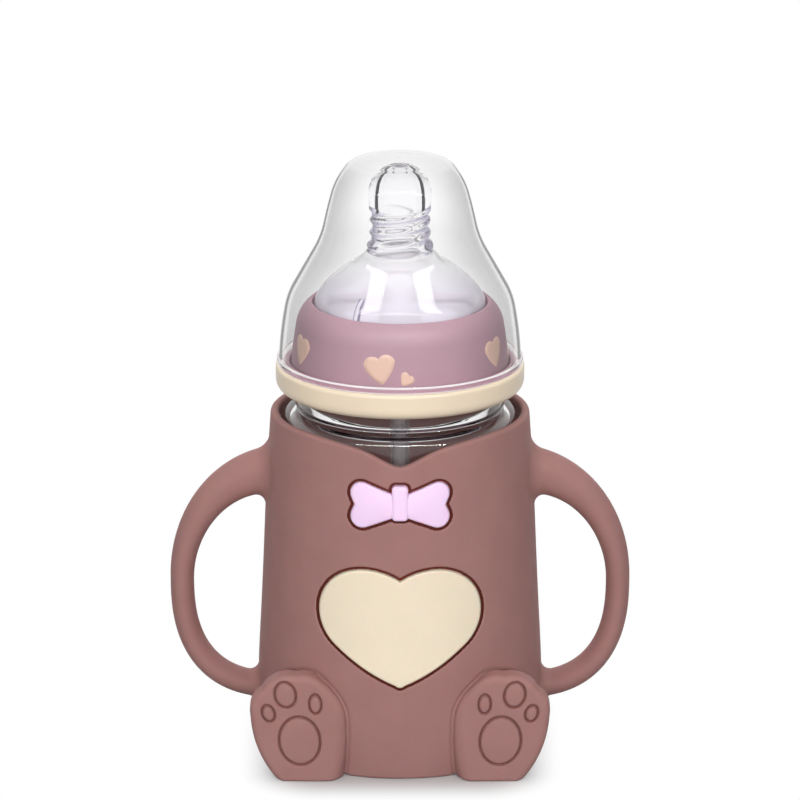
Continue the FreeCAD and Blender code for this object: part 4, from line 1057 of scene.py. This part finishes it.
def white_for_eyes(owner, lit, seen, target):
    """Mixes what lights the object with what the camera, mirrors and glass see."""
    path = add_node(owner, "LightPath").outputs
    mirrors = maths(owner, "MAXIMUM", path["Is Glossy Ray"], path["Is Transmission Ray"])
    mixed_shader(owner, maths(owner, "MAXIMUM", path["Is Camera Ray"], mirrors), lit, seen, target)


def make_world():
    world = bpy.data.worlds.new("studio")
    bpy.context.scene.world = world
    world.use_nodes = True
    nodes, white = world.node_tree.nodes, (1, 1, 1, 1)
    lit = feed(world, nodes["Background"], Color=white, Strength=FILL)
    seen = add_node(world, "Background", Color=white, Strength=1.0)
    white_for_eyes(world, lit, seen, nodes["World Output"])


def make_floor():
    """Pale floor that shows the object's rendered shadow, greyer near it as a painted soft shadow, and fades to
    plain white away from it.
    """
    material = new_material("floor", Base_Color=FLOOR_LIT, Roughness=0.9, Specular_IOR_Level=0.0)
    nodes = material.node_tree.nodes
    pale = add_node(material, "BsdfDiffuse", Color=FLOOR_SEEN)
    glow = add_node(material, "Emission", Strength=FLOOR_GLOW)
    near = add_node(material, "AddShader")
    put(material, near.inputs[0], pale.outputs[0])
    put(material, near.inputs[1], glow.outputs[0])
    far = add_node(material, "Emission", Strength=1.0)
    away = add_node(material, "TexCoord").outputs["Object"]
    stretch = [s * MM for s in FLOOR_STRETCH] + [0]
    for operation, number in (
            ("ABSOLUTE", None), ("SUBTRACT", stretch), ("MAXIMUM", (0, 0, 0)), ("LENGTH", None)):
        step = add_node(material, "VectorMath")
        step.operation = operation
        put(material, step.inputs[0], away)
        if number:
            put(material, step.inputs[1], number)
        away = step.outputs["Value" if operation == "LENGTH" else "Vector"]
    fade = spread_over(material, away, FLOOR_NEAR * MM, FLOOR_FAR * MM, smooth=True)
    seen = mixed_shader(material, fade, near, far)
    white_for_eyes(material, nodes["Principled BSDF"], seen, nodes["Material Output"])
    corners = [(x * FLOOR_HALF, y * FLOOR_HALF, 0) for x, y in ((-1, -1), (1, -1), (1, 1), (-1, 1))]
    MATERIALS["floor"] = material
    floor = piece("floor", corners, [(0, 1, 2, 3)], "floor")


def make_lamp(name, place, target, size, power):
    """Area lamp aimed at a target. size is its width and height, and power is in watts."""
    lamp = bpy.data.lights.new(name, "AREA")
    lamp.shape = "RECTANGLE"
    lamp.size, lamp.size_y = (s * MM for s in size)
    lamp.energy = power
    holder = new_object(name, lamp)
    holder.location = [c * MM for c in place]
    aim = np.subtract(target, place)
    yaw = math.atan2(aim[1], aim[0])
    pitch = math.atan2(math.hypot(aim[0], aim[1]), -aim[2])
    holder.rotation_euler = (pitch, 0, yaw - math.pi / 2)
    return holder


def make_lamps():
    """Soft lamps in front, above and behind, and a strip that only shows as a gleam."""
    front = make_lamp("front", (0, -1000, 450), (0, 0, 70), (1500, 600), 11.6)
    top = make_lamp("top", (0, 250, 1100), (0, 0, 70), (1000, 700), 6.2)
    back = make_lamp("back", (0, 1000, 600), (0, 0, 70), (1000, 600), 4.0)
    strip = make_lamp("strip", (0, -720, 880), (0, 0, 85), (1700, 80), 22.0)
    for lamp in (front, top, back):
        lamp.visible_glossy = lamp.visible_transmission = False
    strip.visible_diffuse = strip.visible_transmission = False


make_camera()
make_straw()
make_sleeve()
make_inlays()
make_glass()
make_collar()
make_ring()
make_cap()
make_nipple()
finish_solids()
make_world()
make_floor()
make_lamps()
bpy.context.scene.view_settings.view_transform = "Standard"
